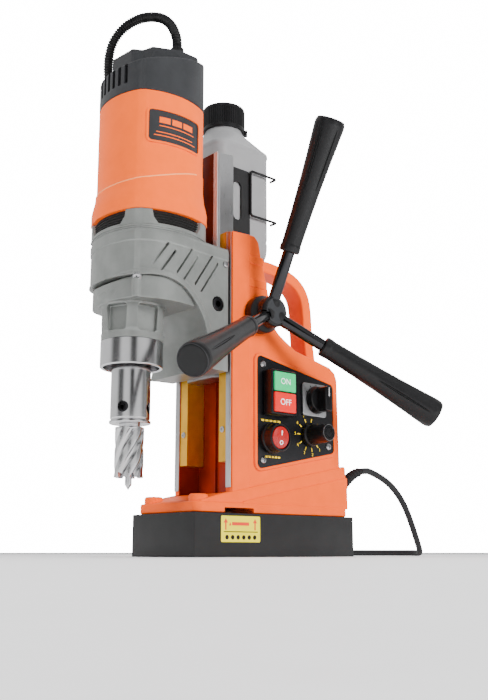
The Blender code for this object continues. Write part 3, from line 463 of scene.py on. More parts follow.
def lettering(name, text, size, matrix, body, look, slot, depth=0.15):
    """Raised letters or figures, centred on the matrix's origin and facing its +Z."""
    data = bpy.data.curves.new(name, "FONT")
    data.body = text
    data.size = size * MM
    data.extrude = depth * MM
    data.align_x = "CENTER"
    data.align_y = "CENTER"
    obj = bpy.data.objects.new(name, data)
    obj.matrix_world = matrix
    bpy.context.scene.collection.objects.link(obj)
    return piece(applied(obj), body, look, slot)


def facing_x(x, y, z):
    """Places flat lettering on a face that looks along +X, with its top up."""
    turn = Matrix(((0, 0, 1), (1, 0, 0), (0, 1, 0))).to_4x4()
    return shift(x, y, z) @ turn


# ---------------------------------------------------------------- camera, light and floor

def camera():
    data = bpy.data.cameras.new("camera")
    data.lens = 47.07
    data.sensor_width = 36
    data.clip_start = 0.02
    data.clip_end = 200
    obj = bpy.data.objects.new("camera", data)
    bpy.context.scene.collection.objects.link(obj)
    azimuth, pitch = math.radians(48.89), math.radians(12.48)
    ahead = Vector((-math.sin(azimuth) * math.cos(pitch), math.cos(azimuth) * math.cos(pitch),
                    math.sin(pitch)))
    obj.matrix_world = (Matrix.Translation((0.70577, -0.61926, 0.004))
                        @ ahead.to_track_quat("-Z", "Y").to_matrix().to_4x4())
    bpy.context.scene.camera = obj


def lamp(name, at, aim, size, power, shows=False, tall=None):
    data = bpy.data.lights.new(name, "AREA")
    data.shape = "RECTANGLE"
    data.size = size
    data.size_y = tall or size
    data.energy = power
    obj = bpy.data.objects.new(name, data)
    bpy.context.scene.collection.objects.link(obj)
    turn = (Vector(aim) - Vector(at)).to_track_quat("-Z", "Y").to_matrix().to_4x4()
    obj.matrix_world = Matrix.Translation(at) @ turn
    obj.visible_glossy = shows


def studio():
    world = bpy.data.worlds.new("studio")
    world.use_nodes = True
    bpy.context.scene.world = world
    nodes, links = world.node_tree.nodes, world.node_tree.links
    background = nodes["Background"]
    where = nodes.new("ShaderNodeTexCoord")
    split = nodes.new("ShaderNodeSeparateXYZ")
    links.new(where.outputs["Generated"], split.inputs["Vector"])
    around = nodes.new("ShaderNodeMath")
    around.operation = "ARCTAN2"
    links.new(split.outputs["Y"], around.inputs[0])
    links.new(split.outputs["X"], around.inputs[1])
    turn = nodes.new("ShaderNodeMapRange")
    turn.inputs["From Min"].default_value = -math.pi
    turn.inputs["From Max"].default_value = math.pi
    links.new(around.outputs["Value"], turn.inputs["Value"])
    bands = nodes.new("ShaderNodeValToRGB")
    ramp = bands.color_ramp
    ramp.interpolation = "EASE"
    stops = [(0.0, 0.95), (0.16, 0.95), (0.22, 0.10), (0.27, 0.12), (0.31, 1.0), (0.38, 0.95), (0.405, 0.03),
             (0.445, 0.03), (0.47, 0.9), (0.55, 1.0), (0.63, 0.25), (0.72, 0.9), (1.0, 0.95)]
    while len(ramp.elements) < len(stops):
        ramp.elements.new(0.5)
    for element, (at, value) in zip(ramp.elements, stops):
        element.position = at
        element.color = (value, value, value, 1)
    links.new(turn.outputs["Result"], bands.inputs["Fac"])
    rays = nodes.new("ShaderNodeLightPath")
    pick = nodes.new("ShaderNodeMix")
    pick.data_type = "RGBA"
    links.new(rays.outputs["Is Glossy Ray"], pick.inputs["Factor"])
    pick.inputs["A"].default_value = (0.42, 0.423, 0.427, 1)
    links.new(bands.outputs["Color"], pick.inputs["B"])
    seen = nodes.new("ShaderNodeMix")
    seen.data_type = "RGBA"
    links.new(rays.outputs["Is Camera Ray"], seen.inputs["Factor"])
    links.new(pick.outputs["Result"], seen.inputs["A"])
    seen.inputs["B"].default_value = (16, 16, 16, 1)
    links.new(seen.outputs["Result"], background.inputs["Color"])
    background.inputs["Strength"].default_value = 1.0
    lamp("key", (-0.6, -1.9, 1.2), (0, -0.05, 0.25), 1.1, 46)
    lamp("side", (2.1, 0.3, 0.8), (0, 0, 0.25), 0.8, 82)
    lamp("top", (-0.3, 0.5, 2.4), (0, 0, 0.2), 1.4, 34)
    bm = bmesh.new()
    bmesh.ops.create_grid(bm, x_segments=2, y_segments=2, size=30)
    floor = mesh_object("floor", bm, Matrix.Translation((0, 0, -0.0002)))
    floor.data.materials.append(surface("floor_pale", (0.93, 0.93, 0.935), 0.6, grain=4, bump=0.01,
                                        vary=0.01))


# ---------------------------------------------------------------- cord and conduit

CORD_R = 3.5
COIL = (-120.0, 95.0)
CORD_ROUTE = [(20, 151.2, 92), (20, 161, 93.4), (19.5, 175, 90.5), (19, 194, 84), (18, 212, 73.5),
              (16, 229, 58.5), (13, 244, 40), (9, 258, 21), (3, 271, 8.5), (-6, 282, 3.9), (-22, 292, 3.7),
              (-42, 294, 3.7), (-62, 286, 3.7), (-76, 270, 3.7), (-83, 248, 3.7), (-84.5, 222, 3.7),
              (-82, 190, 3.7), (-77.5, 158, 3.7), (-74.5, 128, 3.7)]
PLUG_Y = 49.5
CONDUIT_ROUTE = [(15, -108, 512.4), (14.2, -109, 526), (7, -112, 543), (-7, -118, 555), (-29, -127, 559.5),
                 (-50, -135, 552.5), (-63, -139.5, 534), (-68, -137.5, 503), (-69, -124, 462),
                 (-68.5, -100, 410),
                 (-67.5, -73, 355), (-66, -47, 302), (-65, -25, 258), (-64.5, -7, 231), (-63, 4, 218.5),
                 (-59.5, 8, 214.3), (-56, 8.2, 214)]
COIL_STEPS = [(0.8, 1.0, "in"), (1.8, 2.0, "in"), (2.6, 2.8, "up"), (3.6, 3.8, "out"), (4.6, 4.8, "out"),
              (5.4, 5.6, "up")]
COIL_TURNS = 6.25


def ease(low, high, at):
    t = max(0.0, min(1.0, (at - low) / (high - low)))
    return t * t * (3 - 2 * t)


def coil_points(per_turn=24):
    """Clockwise turns in layers, stepping to the next row or layer over a fifth of a turn."""
    points = []
    for i in range(1, round(COIL_TURNS * per_turn) + 1):
        turn = i / per_turn
        r, z = 45.3, 3.7
        for start, end, way in COIL_STEPS:
            share = ease(start, end, turn)
            r += {"in": -7.15, "out": 7.15, "up": 0}[way] * share
            z += 7.35 * share if way == "up" else 0
        a = -2 * math.pi * turn
        points.append((COIL[0] + r * math.cos(a), COIL[1] + r * math.sin(a), z))
    return points


def cord():
    lead = [tuple(p) for p in even_path(CORD_ROUTE, 12)]
    end = [(COIL[0] - 12, PLUG_Y - 0.2, 17.6), (COIL[0] - 24, PLUG_Y, 15.2), (COIL[0] - 34, PLUG_Y, 13),
           (COIL[0] - 45, PLUG_Y, 12)]
    path = [tuple(p) for p in smooth_path(lead + [(-74.6, 110, 3.7)] + [(-74.7, 95.5,
                                                                         3.7)] + coil_points() + end, 2)]
    tube = piece(sweep("mains_lead", path, CORD_R, 16), "stand", "rubber", "rubber", "power_cord",
                 "cord_coil")
    x = COIL[0]
    body = join(box("plug_body", (x - 84, PLUG_Y - 12.5, 0.6), (x - 52, PLUG_Y + 12.5, 23.5), 4, 4),
                rod("plug_neck", (x - 56, PLUG_Y, 12), (x - 44.3, PLUG_Y, 12), 8, 5, bevel=0.5))
    for i in range(3):
        at = x - 79 + 6 * i
        body = cut(body, box("grip_line", (at, PLUG_Y - 14, 4), (at + 2, PLUG_Y - 11.6, 20)),
                   box("grip_line", (at, PLUG_Y + 11.6, 4), (at + 2, PLUG_Y + 14, 20)))
    piece(body, "stand", "rubber", "rubber", "mains_plug")
    pins = [box("plug_blade", (x - 100.5, PLUG_Y + dy - 0.75, 12.8), (x - 80, PLUG_Y + dy + 0.75, 19.2), 0.3)
            for dy in (-6.35, 6.35)]
    pins.append(rod("plug_earth", (x - 102.5, PLUG_Y, 6.5), (x - 80, PLUG_Y, 6.5), 2.4, bevel=0.8))
    blades = [piece(p, "stand", "brass", "brass") for p in pins]
    a = math.radians(160)
    centre = Vector((x + 38.2 * math.cos(a), COIL[1] + 38.2 * math.sin(a), 11.1))
    loop = []
    for k in range(33):
        t = 2 * math.pi * k / 32
        w = abs(math.cos(t)) ** 0.45 * math.copysign(11.4, math.cos(t))
        h = abs(math.sin(t)) ** 0.45 * math.copysign(10.4, math.sin(t))
        loop.append(centre + Vector((math.cos(a) * w, math.sin(a) * w, h)))
    tie = piece(sweep("cord_tie", loop, 0.45, 8), "stand", "black_plastic", "black_plastic")
    relief_path = even_path([(20, 101.6, 66), (20, 107, 66), (20, 117, 72.5), (20, 130, 82.5),
                             (20, 141, 88.8),
                             (20, 150.4, 91.8)], 0.5)
    total = path_length(relief_path)

    def ribbed(run):
        base = 7.5 * (1 - 0.36 * run / total)
        return base - 2.0 * (0.5 - 0.5 * math.cos(2 * math.pi * run / 4.8)) * min(1, run / 4)

    piece(sweep("cord_relief", relief_path, ribbed, 24), "stand", "rubber", "rubber", "strain_relief")


def conduit():
    path = even_path(CONDUIT_ROUTE, 0.5)

    def rings(run):
        return 4.75 + 0.6 * math.sin(2 * math.pi * run / 2.9)

    tube = sweep("flexible_conduit", path, rings, 14)
    piece(tube, "stand", "black_plastic", "black_plastic", "motor_conduit")
    tube.parent = None
    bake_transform(tube)
    elbow = join(rod("elbow", (-54.9, 8, 214), (-50, 8, 214), 7, sides=6, bevel=0.6),
                 rod("elbow_neck", (-51, 8, 214), (-44.3, 8, 214), 8.8, bevel=0.6))
    piece(elbow, "stand", "black_plastic", "black_plastic", "conduit_elbow")
    gland = turned("gland", [(0, 512), (6.6, 512), (6.9, 508), (7.5, 507.5), (7.5, 505.3), (0, 505.3)],
                   (15, -108, 0), radius=0.6)
    piece(gland, "carriage", "black_plastic", "black_plastic", "conduit_gland")


# ---------------------------------------------------------------- foot and stand

def dress(node, look, width=0.0, angle=35):
    """Gives a CAD node its finish and small rounded edges."""
    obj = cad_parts[node]
    obj.data.materials.clear()
    obj.data.materials.append(LOOK[look])
    if width:
        modified(obj, "BEVEL", width=width * MM, segments=3, limit_method="ANGLE",
                 angle_limit=math.radians(angle),
                 harden_normals=False)


def magnet():
    body = box("magnet_block", (-49, -105, 0), (49, 105, 40), 0.9, 3)
    core = rounded(rectangle(-20, -76, 20, 76), 8)
    slot = cut(prism("slot", rounded(rectangle(-37, -93, 37, 93), 20, 10), -1, 30),
               prism("core", core, -2, 31))
    piece(cut(body, slot), "stand", "magnet_paint", "magnet_paint", "magnet_body")
    label = prism("foot_label", rounded(rectangle(-74, 13.4, -26, 37.3), 1.2), 48.9, 49.25 - 0.05, across="X")
    piece(label, "stand", "label_yellow", "magnet_paint")
    marks = []
    for y in (-68.5, -32.5):
        arrow = [(y - 0.8, 24.5), (y + 0.8, 24.5), (y + 0.8, 31), (y + 2.6, 31), (y, 35), (y - 2.6, 31),
                 (y - 0.8, 31)]
        marks.append(prism("arrow", arrow, 48.9, 49.3, across="X"))
    marks.append(box("label_bar", (48.9, -61, 28.6), (49.3, -40, 31.6)))
    marks.append(prism("label_sign", [(-64.6, 28.4), (-61.8, 28.4), (-63.2, 31.6)], 48.9, 49.3, across="X"))
    for mark in marks:
        piece(mark, "stand", "label_red", "magnet_paint")
    dark = [box("label_line", (48.9, -71, 22.4), (49.3, -29, 23.2))]
    dark += [rod("label_dot", (48.9, -67 + 6.8 * i, 17.8), (49.3, -67 + 6.8 * i, 17.8),
                 2.1) for i in range(6)]
    for mark in dark:
        piece(mark, "stand", "black_plastic", "magnet_paint")
    dress("magnet_coil", "copper")
    dress("magnet_potting", "black_plastic")


def handle_path():
    return smooth_path([(-30, 303.5), (-16, 304), (6, 304), (30, 303), (52, 299), (67, 291.5), (76, 279.5),
                        (79.5, 262), (80.5, 240), (83, 218), (87, 196), (89, 186)], 5)


def panel_outline(grow, radius, count=8):
    corners = [(-26, 83), (80.5, 105.5), (80.5, 176.5), (-26, 196)]
    signs = [(-1, -1), (1, -1), (1, 1), (-1, 1)]
    return rounded([(y + sy * grow, z + sz * grow) for (y, z), (sy, sz) in zip(corners, signs)], radius, count)


def stand():
    foot = prism("stand_body", rounded(rectangle(-47, -101, 47, 101), 8, 8), 40.3, 50, bevel=1.6)
    wedge = [(-95, 48), (-95, 51), (-71, 57.5), (97.5, 92.5), (99.3, 90), (99.3, 48)]
    skirt = [(-46, 48), (-44, 51.3), (-8, 59), (100.4, 80.7), (100.4, 48)]
    side = [(-58, 48), (-58, 318.5), (-35, 320), (-27, 320), (-21, 314), (-18, 299), (-13, 281), (-3, 243),
            (0, 230), (2, 226.5), (6, 222.5), (12, 218.5), (30, 208), (80, 197), (88, 191.5), (91, 184),
            (92.5, 93),
            (92.5, 48)]
    handle = prism("handle", [tuple(p) for p in band(handle_path(), 6.5)], -12, 12, across="X", bevel=3.4,
                   segments=4, angle=40)
    parts = [prism("wedge", wedge, -45.2, 45.2, across="X", bevel=1.0),
             prism("skirt", skirt, -46.3, 46.3, across="X", bevel=0.7),
             prism("column", side, -44, 44, across="X", bevel=2.2, segments=4),
             handle,
             prism("rim", panel_outline(3.6, 8), 40, 46.4, across="X", bevel=1.2),
             prism("front_strip", rounded([(-57.2, 60), (-34.8, 64.5), (-34.8, 319.2), (-57.2, 318)], 1), 42,
                   45,
                   across="X", bevel=0.9),
             prism("front_strip", rounded([(-57.2, 60), (-34.8, 64.5), (-34.8, 319.2), (-57.2, 318)], 1),
                   -45, -42,
                   across="X", bevel=0.9)]
    for low, high, back in ((289.5, 298, -16), (265, 273.5, -11)):
        for x0, x1 in ((42, 45.2), (-45.2, -42)):
            parts.append(box("ledge", (x0, -36, low), (x1, back, high), 1.0))
    for x in (35, -35):
        parts.append(turned("foot_boss", [(0, 57), (7.6, 57), (9, 55.6), (9, 45), (0, 45)], (x, -90, 0)))
    bodies = join(foot, *parts)
    channel_back = -33
    cutters = [prism("recess", panel_outline(0.4, 5), 44, 50, across="X"),
               prism("pocket", rounded([(-17, 94), (72, 114), (72, 168), (-17, 185)], 5), -36, 50,
                     across="X"),
               box("channel", (-36.5, -64, 57.5), (36.5, channel_back, 330)),
               box("rack_groove", (-10, -40, 57.5), (10, -30.5, 330)),
               rod("pinion_pocket", (-14, -23, 236), (14, -23, 236), 14),
               rod("bush_bore", (13, -23, 236), (50, -23, 236), 9.5),
               box("strap_slot", (-60, -68, 38), (60, -32, 45), 0.8),
               rod("boss_socket", (35, -90, 52), (35, -90, 60), 3.2, sides=6),
               rod("boss_socket", (-35, -90, 52), (-35, -90, 60), 3.2, sides=6)]
    bodies = cut(bodies, *cutters)
    piece(bodies, "stand", "orange_paint", "orange_paint", "stand_casting", angle=30)
    # the channel's inner faces get the dark red of painted shade, in place of the orange paint in shadow
    bodies.data.materials.append(LOOK["channel_painted_shade"])
    for face in bodies.data.polygons:
        x, y, z = face.center / MM
        if abs(x) < 36.6 and -57.5 < y < -30 and z > 57:
            face.material_index = 1
    for x in (35, -35):
        screw = turned("foot_screw", [(0, 55.5), (2.9, 55.5), (2.9, 52.3), (0, 52.3)], (x, -90, 0))
        screw = cut(screw, rod("hex", (x, -90, 53.5), (x, -90, 58), 1.6, sides=6))
        piece(screw, "stand", "dark_steel", "black_plastic")
    for side_x, name in ((1, "right"), (-1, "left")):
        low, high = sorted((side_x * 36.8, side_x * 43.6))
        piece(box(f"way_strip_{name}", (low, -58.9, 64), (high, -57.6, 318), 0.3), "stand", "machined_steel",
              "machined_steel")
        for z in (120, 210, 300):
            at = Vector((side_x * 30.5, -57.6, z))
            out = Vector((0, -1, 0))
            screw = cut(rod(f"gib_screw_{name}_{z}", at, at + out * 0.9, 3, bevel=0.3),
                        rod("hex", at + out * 0.3, at + out * 3, 1.5, sides=6))
            piece(screw, "stand", "machined_steel", "machined_steel")
    for node in ("gib_left", "gib_right"):
        dress(node, "brass", 0.5)
    dress("pinion_bush", "brass")
    dress("bottle_bracket", "magnet_paint", 0.5)


# ---------------------------------------------------------------- controls

def screw_head(name, at, away, r, height, body, look="machined_steel", slot="machined_steel", cross=True):
    """A pan-head screw at a point on a face, with a crossed recess."""
    away = Vector(away).normalized()
    turn = Matrix.Translation(Vector(at) * MM) @ away.to_track_quat("Z", "Y").to_matrix().to_4x4()
    head = turned(name, [(0, height), (0.45 * r, 0.96 * height), (0.8 * r, 0.72 * height), (r, 0.25 * height),
                         (r, -0.6), (0, -0.6)], (0, 0, 0), steps=40, radius=0.25)
    if cross:
        for wide, tall in ((0.16, 0.6), (0.6, 0.16)):
            head = cut(head, box("cross", (-wide * r, -tall * r, 0.3 * height),
                                 (wide * r, tall * r, 2 * height)))
    return piece(placed(head, turn), body, look, slot)


def controls():
    panel = prism("panel_face", panel_outline(0.1, 4.8), 44.3, 46, across="X", bevel=0.25)
    piece(panel, "stand", "panel_black", "black_plastic", "control_panel")
    dress("control_board", "board", 0.1)
    for i, (y, z) in enumerate(((-18.5, 187), (73.2, 170.5), (73.2, 111.5), (-18.5, 92))):
        screw_head(f"panel_screw_{i}", (46, y, z), (1, 0, 0), 3.5, 1.9, "stand")
    housing = box("switch_body", (46.3, -19, 136), (59.5, 15, 181), 1.6, 4)
    housing = cut(housing, box("well", (49, -17, 158.8), (70, 13, 179.2), 0.6),
                  box("well", (49, -17, 138), (70, 13, 158.7), 0.6))
    piece(housing, "stand", "black_plastic", "black_plastic", "switch_housing")
    for name, low, high, look in (("on_button", 159.3, 178.7, "green"), ("off_button", 138.5, 158.2, "red")):
        key = box(name + "_key", (53, -16.5, low), (61.5, 12.5, high), 1.5, 5)
        piece(key, name, look + "_plastic", look + "_plastic", name)
        text = name.split("_")[0].upper()
        lettering(name + "_text", text, 8.6, facing_x(61.42, -2, (low + high) / 2), name, "white_ink",
                  look + "_plastic")
    plate = prism("selector_face", rounded(rectangle(34, 141, 68, 175), 3, 6), 46.3, 49, across="X",
                  bevel=0.6)
    piece(plate, "stand", "machined_steel", "machined_steel", "selector_plate")
    for i in range(5):
        a = math.radians(90 + 30 * (i - 2))
        mark = box(f"selector_mark_{i}", (48.9, -0.45, 14.9), (49.15, 0.45, 16.4))
        turn = (shift(0, 53, 158) @ Matrix.Rotation(a - math.pi / 2, 4, "X"))
        piece(placed(mark, turn), "stand", "black_plastic", "black_plastic")
    knob = turned("selector_dial", [(0, 7), (12.4, 7), (13.2, 6.4), (14.5, 0.6), (14.5, 0.3), (0, 0.3)],
                  (49, 53, 158), axis="X", radius=0.3)
    grip = prism("bar", rounded([(48, 145), (58, 145), (58, 169), (53, 171), (48, 169)], 1.5, 4), 54, 68,
                 across="X",
                 bevel=1.4, segments=4)
    piece(join(knob, grip), "selector", "black_plastic", "black_plastic", "selector_knob")
    line = box("selector_line", (67.9, 52.4, 160), (68.02, 53.6, 169), 0)
    piece(line, "selector", "white_ink", "black_plastic")
    bezel = turned("rocker_ring", [(11.6, 5.7), (11.6, 14.7), (12.4, 14.9), (13.6, 14.2), (13.8, 5), (15, 4),
                                   (15, 0),
                                   (0.01, 0), (0.01, 5.7)], (46.3, -8.5, 113.5), axis="X", radius=0.4)
    piece(bezel, "stand", "black_plastic", "black_plastic", "rocker_bezel")
    rocker = turned("rocker_key", [(0, 5), (6, 4.8), (10.4, 3.9), (11, 3.2), (10.6, -2), (0, -2.5)],
                    (57, -8.5, 113.5), axis="X", radius=0.4)
    centre = shift(57, -8.5, 113.5)
    tilt = centre @ Matrix.Rotation(math.radians(6), 4, "Y") @ centre.inverted()
    piece(placed(rocker, tilt), "rocker", "rocker_red", "red_plastic", "rocker_button")
    bar = placed(box("rocker_on", (61.7, -9, 116), (62.05, -8, 120.5)), tilt)
    ring = placed(turned("rocker_off", [(2.2, 5.0), (2.2, 4.6), (1.4, 4.6), (1.4, 5.0)], (57, -8.5, 108.8),
                         axis="X",
                         steps=32, radius=0), tilt)
    for mark in (bar, ring):
        piece(mark, "rocker", "white_ink", "red_plastic")
    speed = turned("speed_dial_knob", [(0, 27.7), (8.2, 27.7), (8.9, 27), (9.6, 18), (10.4, 5.7), (12, 4.2),
                                       (12, 0),
                                       (0, 0)], (46.3, 45.5, 121.5), axis="X", radius=0.5)
    for i in range(24):
        a = math.radians(15 * i)
        flute = rod("flute", (53, 45.5 + 10.9 * math.cos(a), 121.5 + 10.9 * math.sin(a)),
                    (72, 45.5 + 9.9 * math.cos(a), 121.5 + 9.9 * math.sin(a)), 0.7, sides=8)
        speed = cut(speed, flute) if i == 0 else boolean(speed, "DIFFERENCE", flute)
    piece(speed, "speed_dial", "black_plastic", "black_plastic", "speed_knob")
    for name, r, x in (("outer", 8.3, 73.95), ("inner", 5.6, 73.95)):
        ring = turned(f"dial_ring_{name}", [(r, 0.35), (r, -0.3), (r - 0.7, -0.3), (r - 0.7, 0.35)],
                      (x - 0.3, 45.5, 121.5), axis="X", steps=64, radius=0)
        piece(ring, "speed_dial", "machined_steel", "black_plastic")
    pointer = placed(box("dial_pointer", (73.9, -0.5, 2.5), (74.0, 0.5, 7.5)),
                     shift(0, 45.5, 121.5) @ Matrix.Rotation(math.radians(-50), 4, "X"))
    piece(pointer, "speed_dial", "white_ink", "black_plastic")
    for i in range(9):
        a = math.radians(-45 + 33.75 * i)
        turn = shift(0, 45.5, 121.5) @ Matrix.Rotation(a, 4, "X")
        tick = placed(box(f"speed_tick_{i}", (45.95, -0.5, 13.4), (46.15, 0.5, 17.2)), turn)
        piece(tick, "stand", "yellow_ink", "black_plastic")
        text_at = Vector((46.0, 45.5 - 20.3 * math.sin(a), 121.5 + 20.3 * math.cos(a)))
        if i > 1:
            lettering(f"speed_number_{i}", str(9 - i), 4.6, facing_x(*text_at), "stand", "yellow_ink",
                      "black_plastic", 0.08)
    for name, z0, z1, y0, y1 in (("upper", 130.2, 132, -21, 6), ("lower", 94.6, 96.4, -16, 5)):
        for k in range(5):
            step = (y1 - y0) / 5
            bar = box(f"switch_caption_{name}_{k}", (45.95, y0 + k * step, z0),
                      (46.15, y0 + (k + 0.72) * step, z1))
            piece(bar, "stand", "yellow_ink", "black_plastic")


# ---------------------------------------------------------------- feed wheel

def feed_wheel():
    hub = turned("hub_body", [(0, 71.2), (12.6, 71.2), (14.9, 70.2), (15.7, 67.8), (15.7, 65.5), (14.6, 62.5),
                              (14.9, 59), (16.8, 56.8), (19, 54.5), (19, 46), (18.2, 44.6), (7.3, 44.6),
                              (7.3, 57),
                              (0, 57)], (0, -23, 236), axis="X", radius=0.9)
    apex = Vector((61, -23, 236))
    cone, phase = math.radians(24.4), math.radians(87.5)
    arms = []
    for i in range(3):
        turn = phase + math.radians(120) * i
        across = Vector((0, math.cos(turn), math.sin(turn)))
        arms.append(math.sin(cone) * Vector((1, 0, 0)) + math.cos(cone) * across)
    hub = join(hub, *[rod("arm_boss", apex - along * 2, apex + along * 14.5, 8.6, 8.0,
                          bevel=1.0) for along in arms])
    hub = cut(hub, *[rod("arm_socket", apex + along * 9, apex + along * 40, 6.4) for along in arms])
    piece(hub, "feed_wheel", "black_plastic", "black_plastic", "feed_hub")
    cap = turned("hub_cap", [(0, 0.6), (12.3, 0.6), (12.9, 0.2), (12.9, -1), (0, -1)], (71.2, -23, 236),
                 axis="X",
                 radius=0.3)
    piece(cap, "feed_wheel", "cap_plastic", "black_plastic")
    dress("feed_shaft", "machined_steel", 0.2)
    length = 134.5
    for i, along in enumerate(arms):
        turn = (Matrix.Translation((apex + along * 62.6) * MM) @ along.to_track_quat("Z",
                                                                                     "Y").to_matrix().to_4x4())
        bar = rod(f"arm_{i + 1}", apex + along * 9.5, apex + along * 84.4, 6, bevel=0.5)
        piece(bar, "feed_wheel", "dark_steel", "machined_steel", f"feed_rod_{i + 1}")
        shape = [(0, length), (11.6, length), (13.6, length - 0.7), (14.7, length - 2.4), (15, length - 6),
                 (14.2, 0.86 * length), (13.0, 0.73 * length), (11.4, 0.5 * length), (10.3, 0.28 * length),
                 (9.7, 8),
                 (10.2, 6.5), (10.2, 1.2), (9.4, 0.2), (6.3, 0.2), (6.3, 23), (0, 23)]
        grip = turned(f"grip_{i + 1}", shape, (0, 0, 0), radius=1.2)
        cutters = []
        for k in range(6):
            a = math.radians(60 * k + 20)
            bm = bmesh.new()
            bmesh.ops.create_uvsphere(bm, u_segments=20, v_segments=24, radius=1)
            lens = mesh_object("groove", bm)
            lean = math.atan2(2.8, 0.36 * length)
            lens.data.transform(
                Matrix.Rotation(a, 4, "Z") @ shift(13.0, 0, 0.7 * length)
                @ Matrix.Rotation(lean, 4, "Y") @ Matrix.Diagonal((1.7 * MM, 1.3 * MM, 31 * MM, 1)))
            cutters.append(lens)
        grip = cut(grip, *cutters)
        piece(placed(grip, turn), "feed_wheel", "black_plastic", "black_plastic", f"feed_grip_{i + 1}")
        # a thin lighter ring on the grip's rounded end edge, as a painted highlight
        rim = turned(f"grip_rim_{i + 1}", [(13.5, length - 0.1), (13.9, length - 0.5), (13.5, length - 0.9),
                                           (13.1, length - 0.5)], (0, 0, 0), radius=0)
        piece(placed(rim, turn), "feed_wheel", "cap_plastic", "black_plastic")


# ---------------------------------------------------------------- carriage: slide, gear case and neck

def slide():
    dress("slide_plate", "machined_steel", 0.6)
    dress("feed_rack", "machined_steel")
    # a thin sheet on the slide's front face with painted reflection and shade in dark reddish brown
    face = box("slide_face", (-19.4, -62.28, 303.5), (19.4, -61.8, 408.6), 0.1)
    piece(face, "carriage", "slide_painted_reflection", "machined_steel")
    # flat strips for the slide's bare-steel chamfers, made light as a painted highlight
    for side in (-1, 1):
        edge = box("slide_edge", (side * 23 - 3.2, -62.32, 303.5), (side * 23 + 3.2, -61.8, 408.6), 0.15)
        piece(edge, "carriage", "chamfer_painted_highlight", "machined_steel")


def case_outline(grow=0.0):
    front = [(x, y) for x, y in bulged_square(57.5 + grow, MOTOR_Y, 24) if y < -108]
    right = sorted((p for p in front if p[0] > 0), key=lambda p: p[1])
    left = [(-x, y) for x, y in right]
    return [*left[::-1], *right, (46 + grow, -80), (45 + grow, -62.3), (-45 - grow, -62.3), (-46 - grow, -80)]


def gear_case():
    case = prism("case_body", case_outline(-0.8), 174, 297)
    case = join(case, prism("case_band", case_outline(-0.1), 285.5, 294.5))
    case = cut(case, rod("arch", (-70, -151, 189), (70, -151, 189), 64, sides=160),
               box("front", (-70, -220, 100), (70, -151, 252)))
    lip = cut(prism("case_lip", case_outline(0.0), 174, 262), prism("inner", case_outline(-1.5), 170, 264))
    lip = boolean(lip, "INTERSECT", rod("lip_zone", (-70, -151, 189), (70, -151, 189), 69.5, sides=160))
    lip = cut(lip, rod("arch", (-71, -151, 189), (71, -151, 189), 63.8, sides=160),
              box("below", (-80, -220, 100), (80, -151, 251.8)))
    case = join(case, lip)
    slant = math.atan2(32, 22)
    grooves = []
    for side in (1, -1):
        for top_y, length, floor in ((-135, 30, 46.0), (-107, 36, 46.6), (-79, 44, 42.0)):
            top = Vector((top_y, 284))
            low = top - length * Vector((math.cos(slant), math.sin(slant)))
            ends = [tuple(low), tuple(top)]
            spans = sorted((side * floor, side * 60))
            inner = prism("land", rounded(band(ends, 4.0), 2.2), spans[0] - 1, spans[1] + 1, across="X")
            grooves.append(cut(prism("groove", rounded(band(ends, 5.9), 3.6), *spans, across="X"), inner))
    case = cast(cut(case, *grooves), 0.62, 2, 0.3)
    case = cut(case,
               rod("gear_cavity", (0, MOTOR_Y, 262), (0, MOTOR_Y, 320), 46.5),
               rod("spindle_way", (0, SPINDLE_Y, 230), (0, SPINDLE_Y, 270), 12),
               rod("layshaft_room", (-18.976, -108.8, 262), (-18.976, -108.8, 320), 22.2),
               rod("layshaft_seat", (-18.976, -108.8, 255), (-18.976, -108.8, 270), 5.3, sides=24),
               rod("bolt_recess", (38, -76, 239), (60, -76, 239), 7.6))
    piece(case, "carriage", "grey_casting", "grey_casting", "gear_case", angle=50)
    bolt = cut(rod("socket_bolt", (38.3, -76, 239), (45.3, -76, 239), 6.4, bevel=0.8),
               rod("hex", (41, -76, 239), (50, -76, 239), 3.4, sides=6))
    piece(bolt, "carriage", "dark_steel", "black_plastic", "case_bolt")
    screw_head("case_plug", (45.6, -66.5, 281), (1, 0, 0), 3.1, 1.0, "carriage", cross=False)
    screw_head("case_screw", (37.9, -165.9, 250.6), (0.5, -0.5, -0.7), 4.4, 3.0, "carriage")


